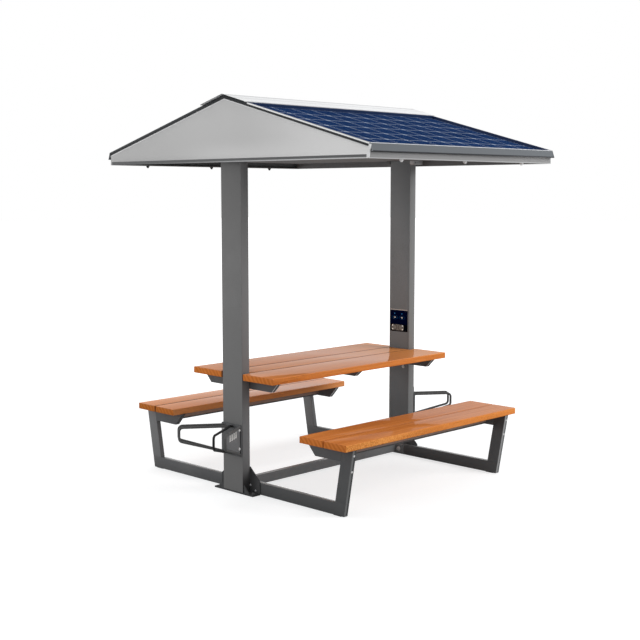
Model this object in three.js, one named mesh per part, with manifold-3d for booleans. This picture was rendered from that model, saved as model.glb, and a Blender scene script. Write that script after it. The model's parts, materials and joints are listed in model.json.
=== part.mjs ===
// Solar charging bench: a table and two benches between two columns that carry a pitched solar roof.
// Millimetres, +Z up. X runs along the ridge, Y across the benches, the origin is on the floor below the middle.
import * as THREE from "three";
import { mergeVertices } from "three/addons/utils/BufferGeometryUtils.js";
import Module from "manifold-3d";

const wasm = await Module();
wasm.setup();

// Columns and their feet
const COLUMN_OUTER_X = 812;
const COLUMN_DEPTH = 60;
const COLUMN_WIDTH = 180;
const COLUMN_WALL = 4;
const COLUMN_INNER_X = COLUMN_OUTER_X - COLUMN_DEPTH;
const GUSSET_THICKNESS = 6;
const GUSSET_SHOULDER_Z = 86;
const GUSSET_TOP_Z = 166;
const BASE_WIDTH = 356;
const BASE_THICKNESS = 10;
const RIB_INSET = 13;
const RIB_THICKNESS = 8;
const RIB_RUN = 50;
const RIB_HEIGHT = 50;
const RIB_X = COLUMN_OUTER_X - RIB_INSET;

// Welded tube frames below the seats
const TUBE_WIDTH = 32;
const FRAME_OUTER_X = COLUMN_INNER_X - GUSSET_THICKNESS;
const FRAME_INNER_X = FRAME_OUTER_X - TUBE_WIDTH;
const FOOT_GAP = 2.5;
const FOOT_HEIGHT = 74.5;
const FOOT_HALF_LENGTH = 881;
const LEG_LEAN = THREE.MathUtils.degToRad(9.9);
const LEG_WIDTH = 84;
const PAD_LENGTH = 60;
const PAD_WIDTH = 30;
const PAD_INSET = 24;
const ARM_HEIGHT = 78;
const ARM_CHAMFER = 70;
const RAIL_HEIGHT = 74;
const FLOOR_BEAM_BOTTOM_Z = 15;
const FLOOR_BEAM_HEIGHT = 61;
const FLANGE_THICKNESS = 8;
const FLANGE_HALF_WIDTH = 87;
const FLANGE_BOTTOM_Z = 10;
const FLANGE_TOP_Z = 73;
const CAP_NUT_RADIUS = 16;
const CAP_NUT_HEIGHT = 14;
const CAP_NUT_Y = 45;
const CAP_NUT_Z = 40;

// Seats and table top
const SEAT_TOP_Z = 440;
const PLANK_THICKNESS = 40;
const SEAT_OVERHANG = 8;
const SEAT_WIDTH = 372;
const OUTER_PLANK_WIDTH = 175;
const PLANK_GAP = 8;
const SEAT_HALF_LENGTH = COLUMN_OUTER_X;
const LEG_HEIGHT = SEAT_TOP_Z - PLANK_THICKNESS - FOOT_GAP;
const SEAT_OUTER_Y = FOOT_HALF_LENGTH + LEG_HEIGHT * Math.tan(LEG_LEAN) + SEAT_OVERHANG;
const SEAT_INNER_Y = SEAT_OUTER_Y - SEAT_WIDTH;
const RAIL_Y = SEAT_OUTER_Y - OUTER_PLANK_WIDTH - PLANK_GAP / 2;
const ARM_REACH = 8;
const ARM_INNER_TOP_Y = SEAT_INNER_Y - ARM_REACH;
const EDGE_ROUND = 5;
const EASED_EDGE = 3;
const TABLE_TOP_Z = 750;
const TABLE_HALF_WIDTH = 368;
const TABLE_OVERHANG = 2;
const TABLE_HALF_LENGTH = COLUMN_OUTER_X + TABLE_OVERHANG;
const TABLE_MIDDLE_HALF_WIDTH = 90;
const TABLE_ARM_HEIGHT = 60;
const TABLE_ARM_HALF_LENGTH = 338;
const TABLE_ARM_CHAMFER = 58;
const TABLE_SPACER_HALF_WIDTH = 60;
const BATTEN_HEIGHT = 42;
const BATTEN_HALF_LENGTH = 336;
const BATTEN_CHAMFER = 51;

// Roof
const PITCH = THREE.MathUtils.degToRad(15.08);
const ROOF_BOTTOM_Z = 2027;
const EAVE_Y = 1171;
const EAVE_HEIGHT = 82;
const RIDGE_Z = ROOF_BOTTOM_Z + EAVE_HEIGHT + EAVE_Y * Math.tan(PITCH);
const GABLE_OVERHANG = 47;
const GABLE_X = COLUMN_OUTER_X + GABLE_OVERHANG;
const GABLE_SHEET = 4;
const RIM_HEIGHT = 21;
const GABLE_BOTTOM_Z = ROOF_BOTTOM_Z + RIM_HEIGHT;
const GABLE_TOP_INSET = 8;
const GABLE_EDGE_TOP_Y = EAVE_Y - GABLE_TOP_INSET;
const VERGE_DEPTH = 21;
const VERGE_OVERHANG = 5;
const VERGE_BEVEL_HEIGHT = 10;
const VERGE_BEVEL_WIDTH = 4;
const CAP_REACH = 205;
const CAP_THICKNESS = 4.6;
const CAP_OVERHANG = 19;
const CAP_HALF_LENGTH = GABLE_X + CAP_OVERHANG;
const CAP_LIP = 2;
const MODULE_START = CAP_REACH + CAP_LIP;
const MODULE_DEPTH = 40;
const MODULE_WALL = 12;
const MODULE_LEDGE = 20;
const GLASS_DEPTH = 18;
const GLASS_THICKNESS = 6;
const RIDGE_SHEET = 4;
const EAVE_SHEET = 3;
const EAVE_HEM = 8;
const DRIP_REACH = 16;
const FASCIA_HEIGHT = 36.5;
const DRIP_Z = ROOF_BOTTOM_Z + FASCIA_HEIGHT;
const FASCIA_INSET = 12;
const FASCIA_Y = EAVE_Y - FASCIA_INSET;
const GABLE_EDGE_LOW_Y = FASCIA_Y - EAVE_SHEET;
const FASCIA_FLANGE = 31;
const GABLE_FOLD = 10;
const CEILING_HEIGHT = 38;
const SOFFIT_Z = ROOF_BOTTOM_Z + CEILING_HEIGHT;
const SOFFIT_SHEET = 3;
const TRAY_WALL = 4;
const TRAY_FLANGE = 27;
const BRACKET_SHEET = 5;
const BRACKET_WIDTH = 30;
const BRACKET_HEIGHT = 27;
const BRACKET_BOTTOM_Z = SOFFIT_Z - BRACKET_HEIGHT;
const BRACKET_OVERHANG = 4;
const BRACKET_INNER_X = COLUMN_INNER_X - BRACKET_OVERHANG;
const BRACKET_ROUND = 10;
const BRACKET_HOLE_INSET = 22;
const BRACKET_HOLE_X = COLUMN_INNER_X + BRACKET_HOLE_INSET;
const BRACKET_HOLE_DROP = 13;
const BRACKET_HOLE_Z = SOFFIT_Z - BRACKET_HOLE_DROP;
const BRACKET_HOLE_RADIUS = 5;

// Charging point on the far column
const PANEL_SIZE = 150;
const PANEL_Y = 4;
const PANEL_Z = 945;
const PANEL_THICKNESS = 4;
const PANEL_ROUND = 6;
const BOX_SIZE = 130;
const BOX_DEPTH = 45;
const BOX_WALL = 3;
const USB_WIDTH = 15;
const USB_HEIGHT = 9;
const USB_MOUTH_WIDTH = 12.6;
const USB_MOUTH_HEIGHT = 5.2;
const USB_MOUTH_DEPTH = 13;
const USB_Y_OFFSET = 33;
const USB_RISE = 24;
const USB_Z = PANEL_Z + USB_RISE;
const LED_RADIUS = 4;
const LED_RISE = 51.5;
const LED_Z = PANEL_Z + LED_RISE;
const BOARD_SETBACK = 14;
const BOARD_THICKNESS = 2;
const BOARD_WIDTH = 100;
const BOARD_HEIGHT = 44;
const SOCKET_LENGTH = 112;
const SOCKET_HEIGHT = 42;
const SOCKET_THICKNESS = 3;
const SOCKET_DROP = 47;
const SOCKET_Z = PANEL_Z - SOCKET_DROP;
const SOCKET_SHIFT = 5;
const SOCKET_Y = PANEL_Y + SOCKET_SHIFT;

// Energy store and cables in the roof
const BATTERY_LENGTH = 350;
const BATTERY_WIDTH = 170;
const BATTERY_HEIGHT = 200;
const CONTROLLER_LENGTH = 180;
const CONTROLLER_WIDTH = 120;
const CONTROLLER_HEIGHT = 52;
const JUNCTION_X = 350;
const JUNCTION_LENGTH = 100;
const JUNCTION_START = 300;
const JUNCTION_END = 380;
const JUNCTION_DEPTH = 20;
const CABLE_RADIUS = 4;
const CABLE_X = COLUMN_OUTER_X - COLUMN_DEPTH / 2;
const CABLE_HOLE_RADIUS = 7;

// Bicycle holders on the outer faces of the columns
const ROD_RADIUS = 7.5;
const RACK_TOP_Z = 426;
const RACK_ROOT_BOTTOM_Z = 240;
const RACK_END_BOTTOM_Z = 327;
const RACK_PLATE_THICKNESS = 8;
const RACK_PLATE_LEFT_Y = -85;
const RACK_PLATE_RIGHT_Y = 96;
const RACK_PLATE_MARGIN = 6;
const ROD_BEND = 26;
const ROD_BITE = 3;
const HOLDER_A_OUT = 283;
const HOLDER_A_SIDE = 184;
const HOLDER_A_TURN = THREE.MathUtils.degToRad(36);
const HOLDER_B_OUT = 293;
const HOLDER_B_SIDE = -160;
const HOLDER_B_TURN = THREE.MathUtils.degToRad(-30);
const WHEEL_SLOT = 68;
const HOLDER_B_SETBACK = 16;

// A hoop's end as distances from the column face and from the middle, turned by its holder's angle
function hoopBeside(hoop, across, along) {
  return {
    out: hoop.out - across * Math.sin(hoop.turn) + along * Math.cos(hoop.turn),
    side: hoop.side + across * Math.cos(hoop.turn) + along * Math.sin(hoop.turn),
    turn: hoop.turn,
  };
}

const HOOP_A_INNER = { out: HOLDER_A_OUT, side: HOLDER_A_SIDE, turn: HOLDER_A_TURN };
const HOOP_A_OUTER = hoopBeside(HOOP_A_INNER, WHEEL_SLOT, 0);
const HOOP_B_INNER = { out: HOLDER_B_OUT, side: HOLDER_B_SIDE, turn: HOLDER_B_TURN };
const HOOP_B_OUTER = hoopBeside(HOOP_B_INNER, -WHEEL_SLOT, -HOLDER_B_SETBACK);
const HOOPS = [HOOP_A_INNER, HOOP_A_OUTER, HOOP_B_INNER, HOOP_B_OUTER];
const INFILL_THICKNESS = 5;
const INFILL_CORNER = 17;
const INFILL_SLOT_WIDTH = 15;
const INFILL_SLOT_HEIGHT = 36;
const INFILL_SLOT_STEP = 36;
const INFILL_SLOT_DROP = 38;
const INFILL_SLOT_MARGIN = 70;
const INFILL_SLOTS = 4;

// Fitting clearance where two sloping faces meet
const FIT = 0.3;
const CURVE_STEPS = 5;
const ROUND_STEPS = 16;
const ROD_STEPS = 10;

const root = new THREE.Group();
root.name = "solar_charging_bench";

const finishes = {
  dark_metal: new THREE.MeshStandardMaterial({ color: 0x5b5956, metalness: 0.5, roughness: 0.55 }),
  roof_trim: new THREE.MeshStandardMaterial({ color: 0x35383b, metalness: 0.4, roughness: 0.6 }),
  light_metal: new THREE.MeshStandardMaterial({ color: 0xb4b5b6, metalness: 0.3, roughness: 0.5 }),
  white_metal: new THREE.MeshStandardMaterial({ color: 0xe4e6e8, metalness: 0.1, roughness: 0.45 }),
  module_frame: new THREE.MeshStandardMaterial({ color: 0xb9bdc2, metalness: 0.8, roughness: 0.35 }),
  solar_cells: new THREE.MeshStandardMaterial({ color: 0x1c2e56, metalness: 0.1, roughness: 0.2 }),
  wood: new THREE.MeshStandardMaterial({ color: 0xb5713a, metalness: 0, roughness: 0.6 }),
  pad: new THREE.MeshStandardMaterial({ color: 0x1c1c1c, metalness: 0, roughness: 0.8 }),
  panel: new THREE.MeshStandardMaterial({ color: 0x141a26, metalness: 0.1, roughness: 0.4 }),
  steel: new THREE.MeshStandardMaterial({ color: 0xb8bcc0, metalness: 0.9, roughness: 0.35 }),
  housing: new THREE.MeshStandardMaterial({ color: 0x2b2d30, metalness: 0, roughness: 0.6 }),
  board: new THREE.MeshStandardMaterial({ color: 0x1d5a35, metalness: 0, roughness: 0.6 }),
  cable: new THREE.MeshStandardMaterial({ color: 0x111111, metalness: 0, roughness: 0.7 }),
};

function toSolid(geometry) {
  const bare = geometry.clone();
  bare.deleteAttribute("normal");
  bare.deleteAttribute("uv");
  const merged = mergeVertices(bare, 1e-3);
  return new wasm.Manifold(new wasm.Mesh({
    numProp: 3,
    vertProperties: new Float32Array(merged.attributes.position.array),
    triVerts: new Uint32Array(merged.index.array),
  }));
}

function toGeometry(solid) {
  const mesh = solid.getMesh();
  const geometry = new THREE.BufferGeometry();
  geometry.setAttribute("position", new THREE.BufferAttribute(new Float32Array(mesh.vertProperties), 3));
  geometry.setIndex(new THREE.BufferAttribute(new Uint32Array(mesh.triVerts), 1));
  const flat = geometry.toNonIndexed();
  flat.computeVertexNormals();
  return flat;
}

function addNode(name, finish, solid) {
  const mesh = new THREE.Mesh(toGeometry(solid), finishes[finish]);
  mesh.name = name;
  root.add(mesh);
}

function fuse(...solids) {
  return solids.reduce((whole, solid) => whole.add(solid));
}

function mirrorX(solid) {
  return solid.mirror([1, 0, 0]);
}

function mirrorY(solid) {
  return solid.mirror([0, 1, 0]);
}

// A box between two corners
function block(x0, x1, y0, y1, z0, z1) {
  const geometry = new THREE.BoxGeometry(x1 - x0, y1 - y0, z1 - z0);
  geometry.translate((x0 + x1) / 2, (y0 + y1) / 2, (z0 + z1) / 2);
  return toSolid(geometry);
}

// An outline of [y, z] points carried along X
function alongX(points, x0, x1, holes = []) {
  const shape = new THREE.Shape(points.map(([y, z]) => new THREE.Vector2(y, z)));
  for (const hole of holes) {
    shape.holes.push(new THREE.Path(hole.map(([y, z]) => new THREE.Vector2(y, z))));
  }
  const geometry = new THREE.ExtrudeGeometry(shape, { depth: x1 - x0, bevelEnabled: false });
  const axes = new THREE.Matrix4().makeBasis(
    new THREE.Vector3(0, 1, 0),
    new THREE.Vector3(0, 0, 1),
    new THREE.Vector3(1, 0, 0),
  );
  geometry.applyMatrix4(axes);
  geometry.translate(x0, 0, 0);
  return toSolid(geometry);
}

// An outline of [x, z] points carried along Y
function alongY(points, y0, y1) {
  const turned = points.map(([x, z]) => [-x, z]);
  return alongX(turned, y0, y1).rotate([0, 0, 90]);
}

function cylinder(radius, length, steps = ROUND_STEPS) {
  const geometry = new THREE.CylinderGeometry(radius, radius, length, steps);
  geometry.rotateX(Math.PI / 2);
  return toSolid(geometry);
}

function cylinderX(radius, x0, x1, y, z, steps = ROUND_STEPS) {
  return cylinder(radius, x1 - x0, steps).rotate([0, 90, 0]).translate([(x0 + x1) / 2, y, z]);
}

// A rectangle with rounded corners as [a, b] points, counter-clockwise
function roundedRectangle(a0, a1, b0, b1, radii) {
  const corners = [
    [a0, b0, 180],
    [a1, b0, 270],
    [a1, b1, 0],
    [a0, b1, 90],
  ];
  const points = [];
  corners.forEach(([a, b, start], index) => {
    const radius = radii[index];
    const inwardA = a === a0 ? radius : -radius;
    const inwardB = b === b0 ? radius : -radius;
    for (let step = 0; step <= CURVE_STEPS; step += 1) {
      const angle = THREE.MathUtils.degToRad(start + (90 * step) / CURVE_STEPS);
      points.push([
        a + inwardA + radius * Math.cos(angle),
        b + inwardB + radius * Math.sin(angle),
      ]);
    }
  });
  return points;
}

// A round rod along a line of points, its rings kept from twisting
function rod(points, radius, steps = ROD_STEPS) {
  const places = points.map((point) => new THREE.Vector3(...point));
  const directions = places.slice(1).map((place, index) => place.clone().sub(places[index]).normalize());
  let side = new THREE.Vector3(0, 0, 1);
  if (Math.abs(directions[0].z) > 0.9) {
    side = new THREE.Vector3(1, 0, 0);
  }
  const vertices = [];
  const index = [];
  places.forEach((place, ring) => {
    const before = directions[Math.max(ring - 1, 0)];
    const after = directions[Math.min(ring, directions.length - 1)];
    const tangent = before.clone().add(after).normalize();
    const mitre = tangent.dot(before);
    const fold = after.clone().sub(before);
    side.sub(tangent.clone().multiplyScalar(side.dot(tangent))).normalize();
    const up = tangent.clone().cross(side);
    const foldAxis = fold.lengthSq() > 1e-9 ? fold.normalize() : null;
    for (let step = 0; step < steps; step += 1) {
      const angle = (2 * Math.PI * step) / steps;
      const arm = side.clone().multiplyScalar(Math.cos(angle)).add(up.clone().multiplyScalar(Math.sin(angle)));
      if (foldAxis) {
        arm.add(foldAxis.clone().multiplyScalar(arm.dot(foldAxis) * (1 / mitre - 1)));
      }
      arm.multiplyScalar(radius).add(place);
      vertices.push(arm.x, arm.y, arm.z);
    }
  });
  for (let ring = 0; ring < places.length - 1; ring += 1) {
    for (let step = 0; step < steps; step += 1) {
      const next = (step + 1) % steps;
      const a = ring * steps + step;
      const b = ring * steps + next;
      const c = a + steps;
      const d = b + steps;
      index.push(a, b, d, a, d, c);
    }
  }
  const last = (places.length - 1) * steps;
  for (let step = 1; step < steps - 1; step += 1) {
    index.push(0, step + 1, step);
    index.push(last, last + step, last + step + 1);
  }
  const geometry = new THREE.BufferGeometry();
  geometry.setAttribute("position", new THREE.Float32BufferAttribute(vertices, 3));
  geometry.setIndex(index);
  return toSolid(geometry);
}

// Rounds the inner corners of a line of points
function softened(points, radius, steps = CURVE_STEPS) {
  const places = points.map((point) => new THREE.Vector3(...point));
  const result = [places[0].toArray()];
  for (let index = 1; index < places.length - 1; index += 1) {
    const corner = places[index];
    const toLast = places[index - 1].clone().sub(corner).normalize();
    const toNext = places[index + 1].clone().sub(corner).normalize();
    const half = toLast.angleTo(toNext) / 2;
    const cut = radius / Math.tan(half);
    const start = corner.clone().add(toLast.clone().multiplyScalar(cut));
    const end = corner.clone().add(toNext.clone().multiplyScalar(cut));
    const curve = new THREE.QuadraticBezierCurve3(start, corner, end);
    for (const place of curve.getPoints(steps)) {
      result.push(place.toArray());
    }
  }
  result.push(places[places.length - 1].toArray());
  return result;
}

// Slope places: run down the slope from the ridge, depth below the upper surface
function slopeY(run, depth) {
  return run * Math.cos(PITCH) - depth * Math.sin(PITCH);
}

function slopeZ(run, depth) {
  return RIDGE_Z - run * Math.sin(PITCH) - depth * Math.cos(PITCH);
}

function onSlope(run, depth) {
  return [slopeY(run, depth), slopeZ(run, depth)];
}

function roofZ(y) {
  return RIDGE_Z - Math.abs(y) * Math.tan(PITCH);
}

function slopeBox(x0, x1, run0, run1, depth0, depth1) {
  return alongX([onSlope(run0, depth1), onSlope(run1, depth1), onSlope(run1, depth0), onSlope(run0, depth0)], x0, x1);
}

const ends = [
  { name: "far", place: (solid) => solid },
  { name: "near", place: (solid) => solid.rotate([0, 0, 180]) },
];
const quarters = [
  { name: "far_left", place: (solid) => solid },
  { name: "far_right", place: mirrorY },
  { name: "near_left", place: mirrorX },
  { name: "near_right", place: (solid) => mirrorX(mirrorY(solid)) },
];
const sides = [
  { name: "left", place: (solid) => solid },
  { name: "right", place: mirrorY },
];

// Base feet: floor plate, upright gusset across the column and two ribs beside it
const halfBase = BASE_WIDTH / 2;
const halfColumn = COLUMN_WIDTH / 2;

function baseFoot() {
  const plate = block(FRAME_OUTER_X, COLUMN_OUTER_X, -halfBase, halfBase, 0, BASE_THICKNESS);
  const gusset = alongX([
    [-halfBase, 0],
    [halfBase, 0],
    [halfBase, GUSSET_SHOULDER_Z],
    [halfColumn, GUSSET_TOP_Z],
    [-halfColumn, GUSSET_TOP_Z],
    [-halfBase, GUSSET_SHOULDER_Z],
  ], FRAME_OUTER_X, COLUMN_INNER_X);
  const rib = alongX([
    [halfColumn, 0],
    [halfColumn + RIB_RUN, 0],
    [halfColumn + RIB_RUN, BASE_THICKNESS],
    [halfColumn, BASE_THICKNESS + RIB_HEIGHT],
  ], RIB_X, RIB_X + RIB_THICKNESS);
  return fuse(plate, gusset, rib, mirrorY(rib));
}

for (const end of ends) {
  addNode(`base_foot_${end.name}`, "dark_metal", end.place(baseFoot()));
}

// Columns: square tube open at both ends
function column() {
  const outer = block(COLUMN_INNER_X, COLUMN_OUTER_X, -halfColumn, halfColumn, BASE_THICKNESS, SOFFIT_Z);
  const inner = block(
    COLUMN_INNER_X + COLUMN_WALL,
    COLUMN_OUTER_X - COLUMN_WALL,
    -halfColumn + COLUMN_WALL,
    halfColumn - COLUMN_WALL,
    0,
    SOFFIT_Z + COLUMN_WALL,
  );
  return outer.subtract(inner);
}

const boxLow = -BOX_SIZE / 2;
const boxHigh = BOX_SIZE / 2;
const panelOpening = block(
  COLUMN_INNER_X - COLUMN_WALL,
  COLUMN_INNER_X + 2 * COLUMN_WALL,
  PANEL_Y + boxLow,
  PANEL_Y + boxHigh,
  PANEL_Z + boxLow,
  PANEL_Z + boxHigh,
);
addNode("column_far", "dark_metal", column().subtract(panelOpening));
addNode("column_near", "dark_metal", ends[1].place(column()));

// Foot beams, legs and seat arms share one plane at each end
const footTop = FOOT_GAP + FOOT_HEIGHT;
const armTop = SEAT_TOP_Z - PLANK_THICKNESS;
const armBottom = armTop - ARM_HEIGHT;

function legOuter(z) {
  return FOOT_HALF_LENGTH + (z - FOOT_GAP) * Math.tan(LEG_LEAN);
}

function legInner(z) {
  return legOuter(z) - LEG_WIDTH;
}

function footBeam() {
  return alongX([
    [-legOuter(FOOT_GAP), FOOT_GAP],
    [legOuter(FOOT_GAP), FOOT_GAP],
    [legOuter(footTop), footTop],
    [-legOuter(footTop), footTop],
  ], FRAME_INNER_X, FRAME_OUTER_X);
}

function leg() {
  return alongX([
    [legInner(footTop), footTop],
    [legOuter(footTop), footTop],
    [legOuter(armTop), armTop],
    [legInner(armTop), armTop],
  ], FRAME_INNER_X, FRAME_OUTER_X);
}

function seatArm() {
  return alongX([
    [ARM_INNER_TOP_Y + ARM_CHAMFER, armBottom],
    [legInner(armBottom) - FIT, armBottom],
    [legInner(armTop) - FIT, armTop],
    [ARM_INNER_TOP_Y, armTop],
  ], FRAME_INNER_X, FRAME_OUTER_X);
}

function footPad() {
  const middle = (FRAME_INNER_X + FRAME_OUTER_X) / 2;
  const outer = FOOT_HALF_LENGTH - PAD_INSET;
  return block(middle - PAD_WIDTH / 2, middle + PAD_WIDTH / 2, outer - PAD_LENGTH, outer, 0, FOOT_GAP);
}

for (const end of ends) {
  addNode(`foot_beam_${end.name}`, "dark_metal", end.place(footBeam()));
}
for (const quarter of quarters) {
  addNode(`leg_${quarter.name}`, "dark_metal", quarter.place(leg()));
  addNode(`seat_arm_${quarter.name}`, "dark_metal", quarter.place(seatArm()));
  addNode(`foot_pad_${quarter.name}`, "pad", quarter.place(footPad()));
}

// Floor beam between the two ends, with flange plates and domed nuts
function capNut(y) {
  const geometry = new THREE.LatheGeometry([
    new THREE.Vector2(0, -FLANGE_THICKNESS / 2),
    new THREE.Vector2(CAP_NUT_RADIUS, -FLANGE_THICKNESS / 2),
    new THREE.Vector2(CAP_NUT_RADIUS, CAP_NUT_HEIGHT / 3),
    new THREE.Vector2(CAP_NUT_RADIUS * Math.cos(Math.PI / 6), (CAP_NUT_HEIGHT * 2) / 3),
    new THREE.Vector2(CAP_NUT_RADIUS / 2, CAP_NUT_HEIGHT * Math.cos(Math.PI / 12)),
    new THREE.Vector2(0, CAP_NUT_HEIGHT),
  ], ROUND_STEPS);
  return toSolid(geometry)
    .rotate([0, 0, 90])
    .translate([FRAME_INNER_X - FLANGE_THICKNESS, y, CAP_NUT_Z]);
}

function floorBeam() {
  const inner = FRAME_INNER_X - FLANGE_THICKNESS;
  const top = FLOOR_BEAM_BOTTOM_Z + FLOOR_BEAM_HEIGHT;
  const beam = block(-FRAME_INNER_X, FRAME_INNER_X, -TUBE_WIDTH / 2, TUBE_WIDTH / 2, FLOOR_BEAM_BOTTOM_Z, top);
  const flange = block(inner, FRAME_INNER_X, -FLANGE_HALF_WIDTH, FLANGE_HALF_WIDTH, FLANGE_BOTTOM_Z, FLANGE_TOP_Z);
  const end = fuse(flange, capNut(CAP_NUT_Y), capNut(-CAP_NUT_Y));
  return fuse(beam, end, mirrorX(end));
}

addNode("floor_beam", "dark_metal", floorBeam());

// Seats: two planks on a rail between the arms
const railInnerY = RAIL_Y - TUBE_WIDTH / 2;

function seatRail() {
  return block(
    -FRAME_INNER_X,
    FRAME_INNER_X,
    railInnerY,
    railInnerY + TUBE_WIDTH,
    armTop - RAIL_HEIGHT,
    armTop,
  );
}

function seatPlank(y0, y1, radii) {
  return alongX(roundedRectangle(y0, y1, armTop, SEAT_TOP_Z, radii), -SEAT_HALF_LENGTH, SEAT_HALF_LENGTH);
}

for (const side of sides) {
  const gapStart = RAIL_Y - PLANK_GAP / 2;
  const gapEnd = RAIL_Y + PLANK_GAP / 2;
  const inner = seatPlank(SEAT_INNER_Y, gapStart, [EASED_EDGE, EASED_EDGE, EASED_EDGE, EDGE_ROUND]);
  const outer = seatPlank(gapEnd, SEAT_OUTER_Y, [EASED_EDGE, EDGE_ROUND, EDGE_ROUND, EASED_EDGE]);
  addNode(`seat_rail_${side.name}`, "dark_metal", side.place(seatRail()));
  addNode(`seat_plank_inner_${side.name}`, "wood", side.place(inner));
  addNode(`seat_plank_outer_${side.name}`, "wood", side.place(outer));
}

// Table: two outer planks past the columns, one between them
const tableBottom = TABLE_TOP_Z - PLANK_THICKNESS;

function tableArm() {
  const bottom = tableBottom - TABLE_ARM_HEIGHT;
  const arm = alongX([
    [-TABLE_ARM_HALF_LENGTH + TABLE_ARM_CHAMFER, bottom],
    [TABLE_ARM_HALF_LENGTH - TABLE_ARM_CHAMFER, bottom],
    [TABLE_ARM_HALF_LENGTH, tableBottom],
    [-TABLE_ARM_HALF_LENGTH, tableBottom],
  ], FRAME_INNER_X, FRAME_OUTER_X);
  const spacer = block(
    FRAME_INNER_X,
    COLUMN_INNER_X,
    -TABLE_SPACER_HALF_WIDTH,
    TABLE_SPACER_HALF_WIDTH,
    bottom,
    tableBottom,
  );
  return fuse(arm, spacer);
}

for (const end of ends) {
  addNode(`table_arm_${end.name}`, "dark_metal", end.place(tableArm()));
}
addNode("table_batten", "dark_metal", alongX([
  [-BATTEN_HALF_LENGTH + BATTEN_CHAMFER, tableBottom - BATTEN_HEIGHT],
  [BATTEN_HALF_LENGTH - BATTEN_CHAMFER, tableBottom - BATTEN_HEIGHT],
  [BATTEN_HALF_LENGTH, tableBottom],
  [-BATTEN_HALF_LENGTH, tableBottom],
], -TUBE_WIDTH / 2, TUBE_WIDTH / 2));

const tableEdges = [EASED_EDGE, EDGE_ROUND, EDGE_ROUND, EASED_EDGE];
const tableSide = alongX(
  roundedRectangle(TABLE_MIDDLE_HALF_WIDTH + PLANK_GAP, TABLE_HALF_WIDTH, tableBottom, TABLE_TOP_Z, tableEdges),
  -TABLE_HALF_LENGTH,
  TABLE_HALF_LENGTH,
);
for (const side of sides) {
  addNode(`table_plank_${side.name}`, "wood", side.place(tableSide));
}
const middleEdges = [EASED_EDGE, EASED_EDGE, EASED_EDGE, EASED_EDGE];
addNode("table_plank_middle", "wood", alongX(
  roundedRectangle(-TABLE_MIDDLE_HALF_WIDTH, TABLE_MIDDLE_HALF_WIDTH, tableBottom, TABLE_TOP_Z, middleEdges),
  -COLUMN_INNER_X,
  COLUMN_INNER_X,
));

// Roof gables and the dark trims above them
const moduleHalf = GABLE_X - GABLE_SHEET;

function gable() {
  const foldY = GABLE_EDGE_LOW_Y - GABLE_FOLD;
  const half = [
    [foldY, GABLE_BOTTOM_Z],
    [foldY, ROOF_BOTTOM_Z],
    [GABLE_EDGE_LOW_Y, ROOF_BOTTOM_Z],
    [GABLE_EDGE_LOW_Y, DRIP_Z + EAVE_SHEET],
    [GABLE_EDGE_TOP_Y, roofZ(GABLE_EDGE_TOP_Y) - VERGE_DEPTH - FIT],
  ];
  const otherHalf = half.map(([y, z]) => [-y, z]).reverse();
  return alongX([...half, [0, RIDGE_Z - VERGE_DEPTH - FIT], ...otherHalf], moduleHalf, GABLE_X);
}

const moduleEnd = (EAVE_Y - EAVE_SHEET) / Math.cos(PITCH);

function verge() {
  const end = slopeY(moduleEnd, 0);
  const outer = GABLE_X + VERGE_OVERHANG;
  const body = alongX([
    [0, RIDGE_Z - VERGE_DEPTH],
    [GABLE_EDGE_TOP_Y, roofZ(GABLE_EDGE_TOP_Y) - VERGE_DEPTH],
    [end, roofZ(end)],
    [0, RIDGE_Z],
    [-end, roofZ(end)],
    [-GABLE_EDGE_TOP_Y, roofZ(GABLE_EDGE_TOP_Y) - VERGE_DEPTH],
  ], moduleHalf, outer);
  const bevel = alongY([
    [outer - VERGE_BEVEL_WIDTH, RIDGE_Z],
    [outer, RIDGE_Z - VERGE_BEVEL_HEIGHT],
    [outer + VERGE_BEVEL_WIDTH, RIDGE_Z + VERGE_BEVEL_HEIGHT],
    [outer, RIDGE_Z + VERGE_BEVEL_HEIGHT],
  ], -EAVE_Y, 0);
  const fall = bevel.warp((place) => {
    place[2] += place[1] * Math.tan(PITCH);
  });
  return body.subtract(fall).subtract(mirrorY(fall));
}

for (const end of ends) {
  addNode(`gable_${end.name}`, "light_metal", end.place(gable()));
  addNode(`verge_${end.name}`, "roof_trim", end.place(verge()));
}

// Solar modules: framed trays with a recessed laminate and its junction box below
function moduleFrame() {
  const outer = slopeBox(-moduleHalf, moduleHalf, MODULE_START + FIT, moduleEnd, 0, MODULE_DEPTH);
  const well = slopeBox(
    -moduleHalf + MODULE_WALL,
    moduleHalf - MODULE_WALL,
    MODULE_START + MODULE_WALL,
    moduleEnd - MODULE_WALL,
    -MODULE_WALL,
    GLASS_DEPTH + GLASS_THICKNESS,
  );
  const inset = MODULE_WALL + MODULE_LEDGE;
  const window = slopeBox(
    -moduleHalf + inset,
    moduleHalf - inset,
    MODULE_START + inset,
    moduleEnd - inset,
    0,
    MODULE_DEPTH + MODULE_WALL,
  );
  return outer.subtract(well).subtract(window);
}

function laminate() {
  const glassBottom = GLASS_DEPTH + GLASS_THICKNESS - FIT;
  const edge = MODULE_WALL + FIT;
  const sheet = slopeBox(
    -moduleHalf + edge,
    moduleHalf - edge,
    MODULE_START + edge,
    moduleEnd - edge,
    GLASS_DEPTH,
    glassBottom,
  );
  const half = JUNCTION_LENGTH / 2;
  const junction = slopeBox(
    JUNCTION_X - half,
    JUNCTION_X + half,
    JUNCTION_START,
    JUNCTION_END,
    GLASS_DEPTH,
    glassBottom + JUNCTION_DEPTH,
  );
  return fuse(sheet, junction);
}

for (const side of sides) {
  addNode(`module_frame_${side.name}`, "module_frame", side.place(moduleFrame()));
  addNode(`module_laminate_${side.name}`, "solar_cells", side.place(laminate()));
}

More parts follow.
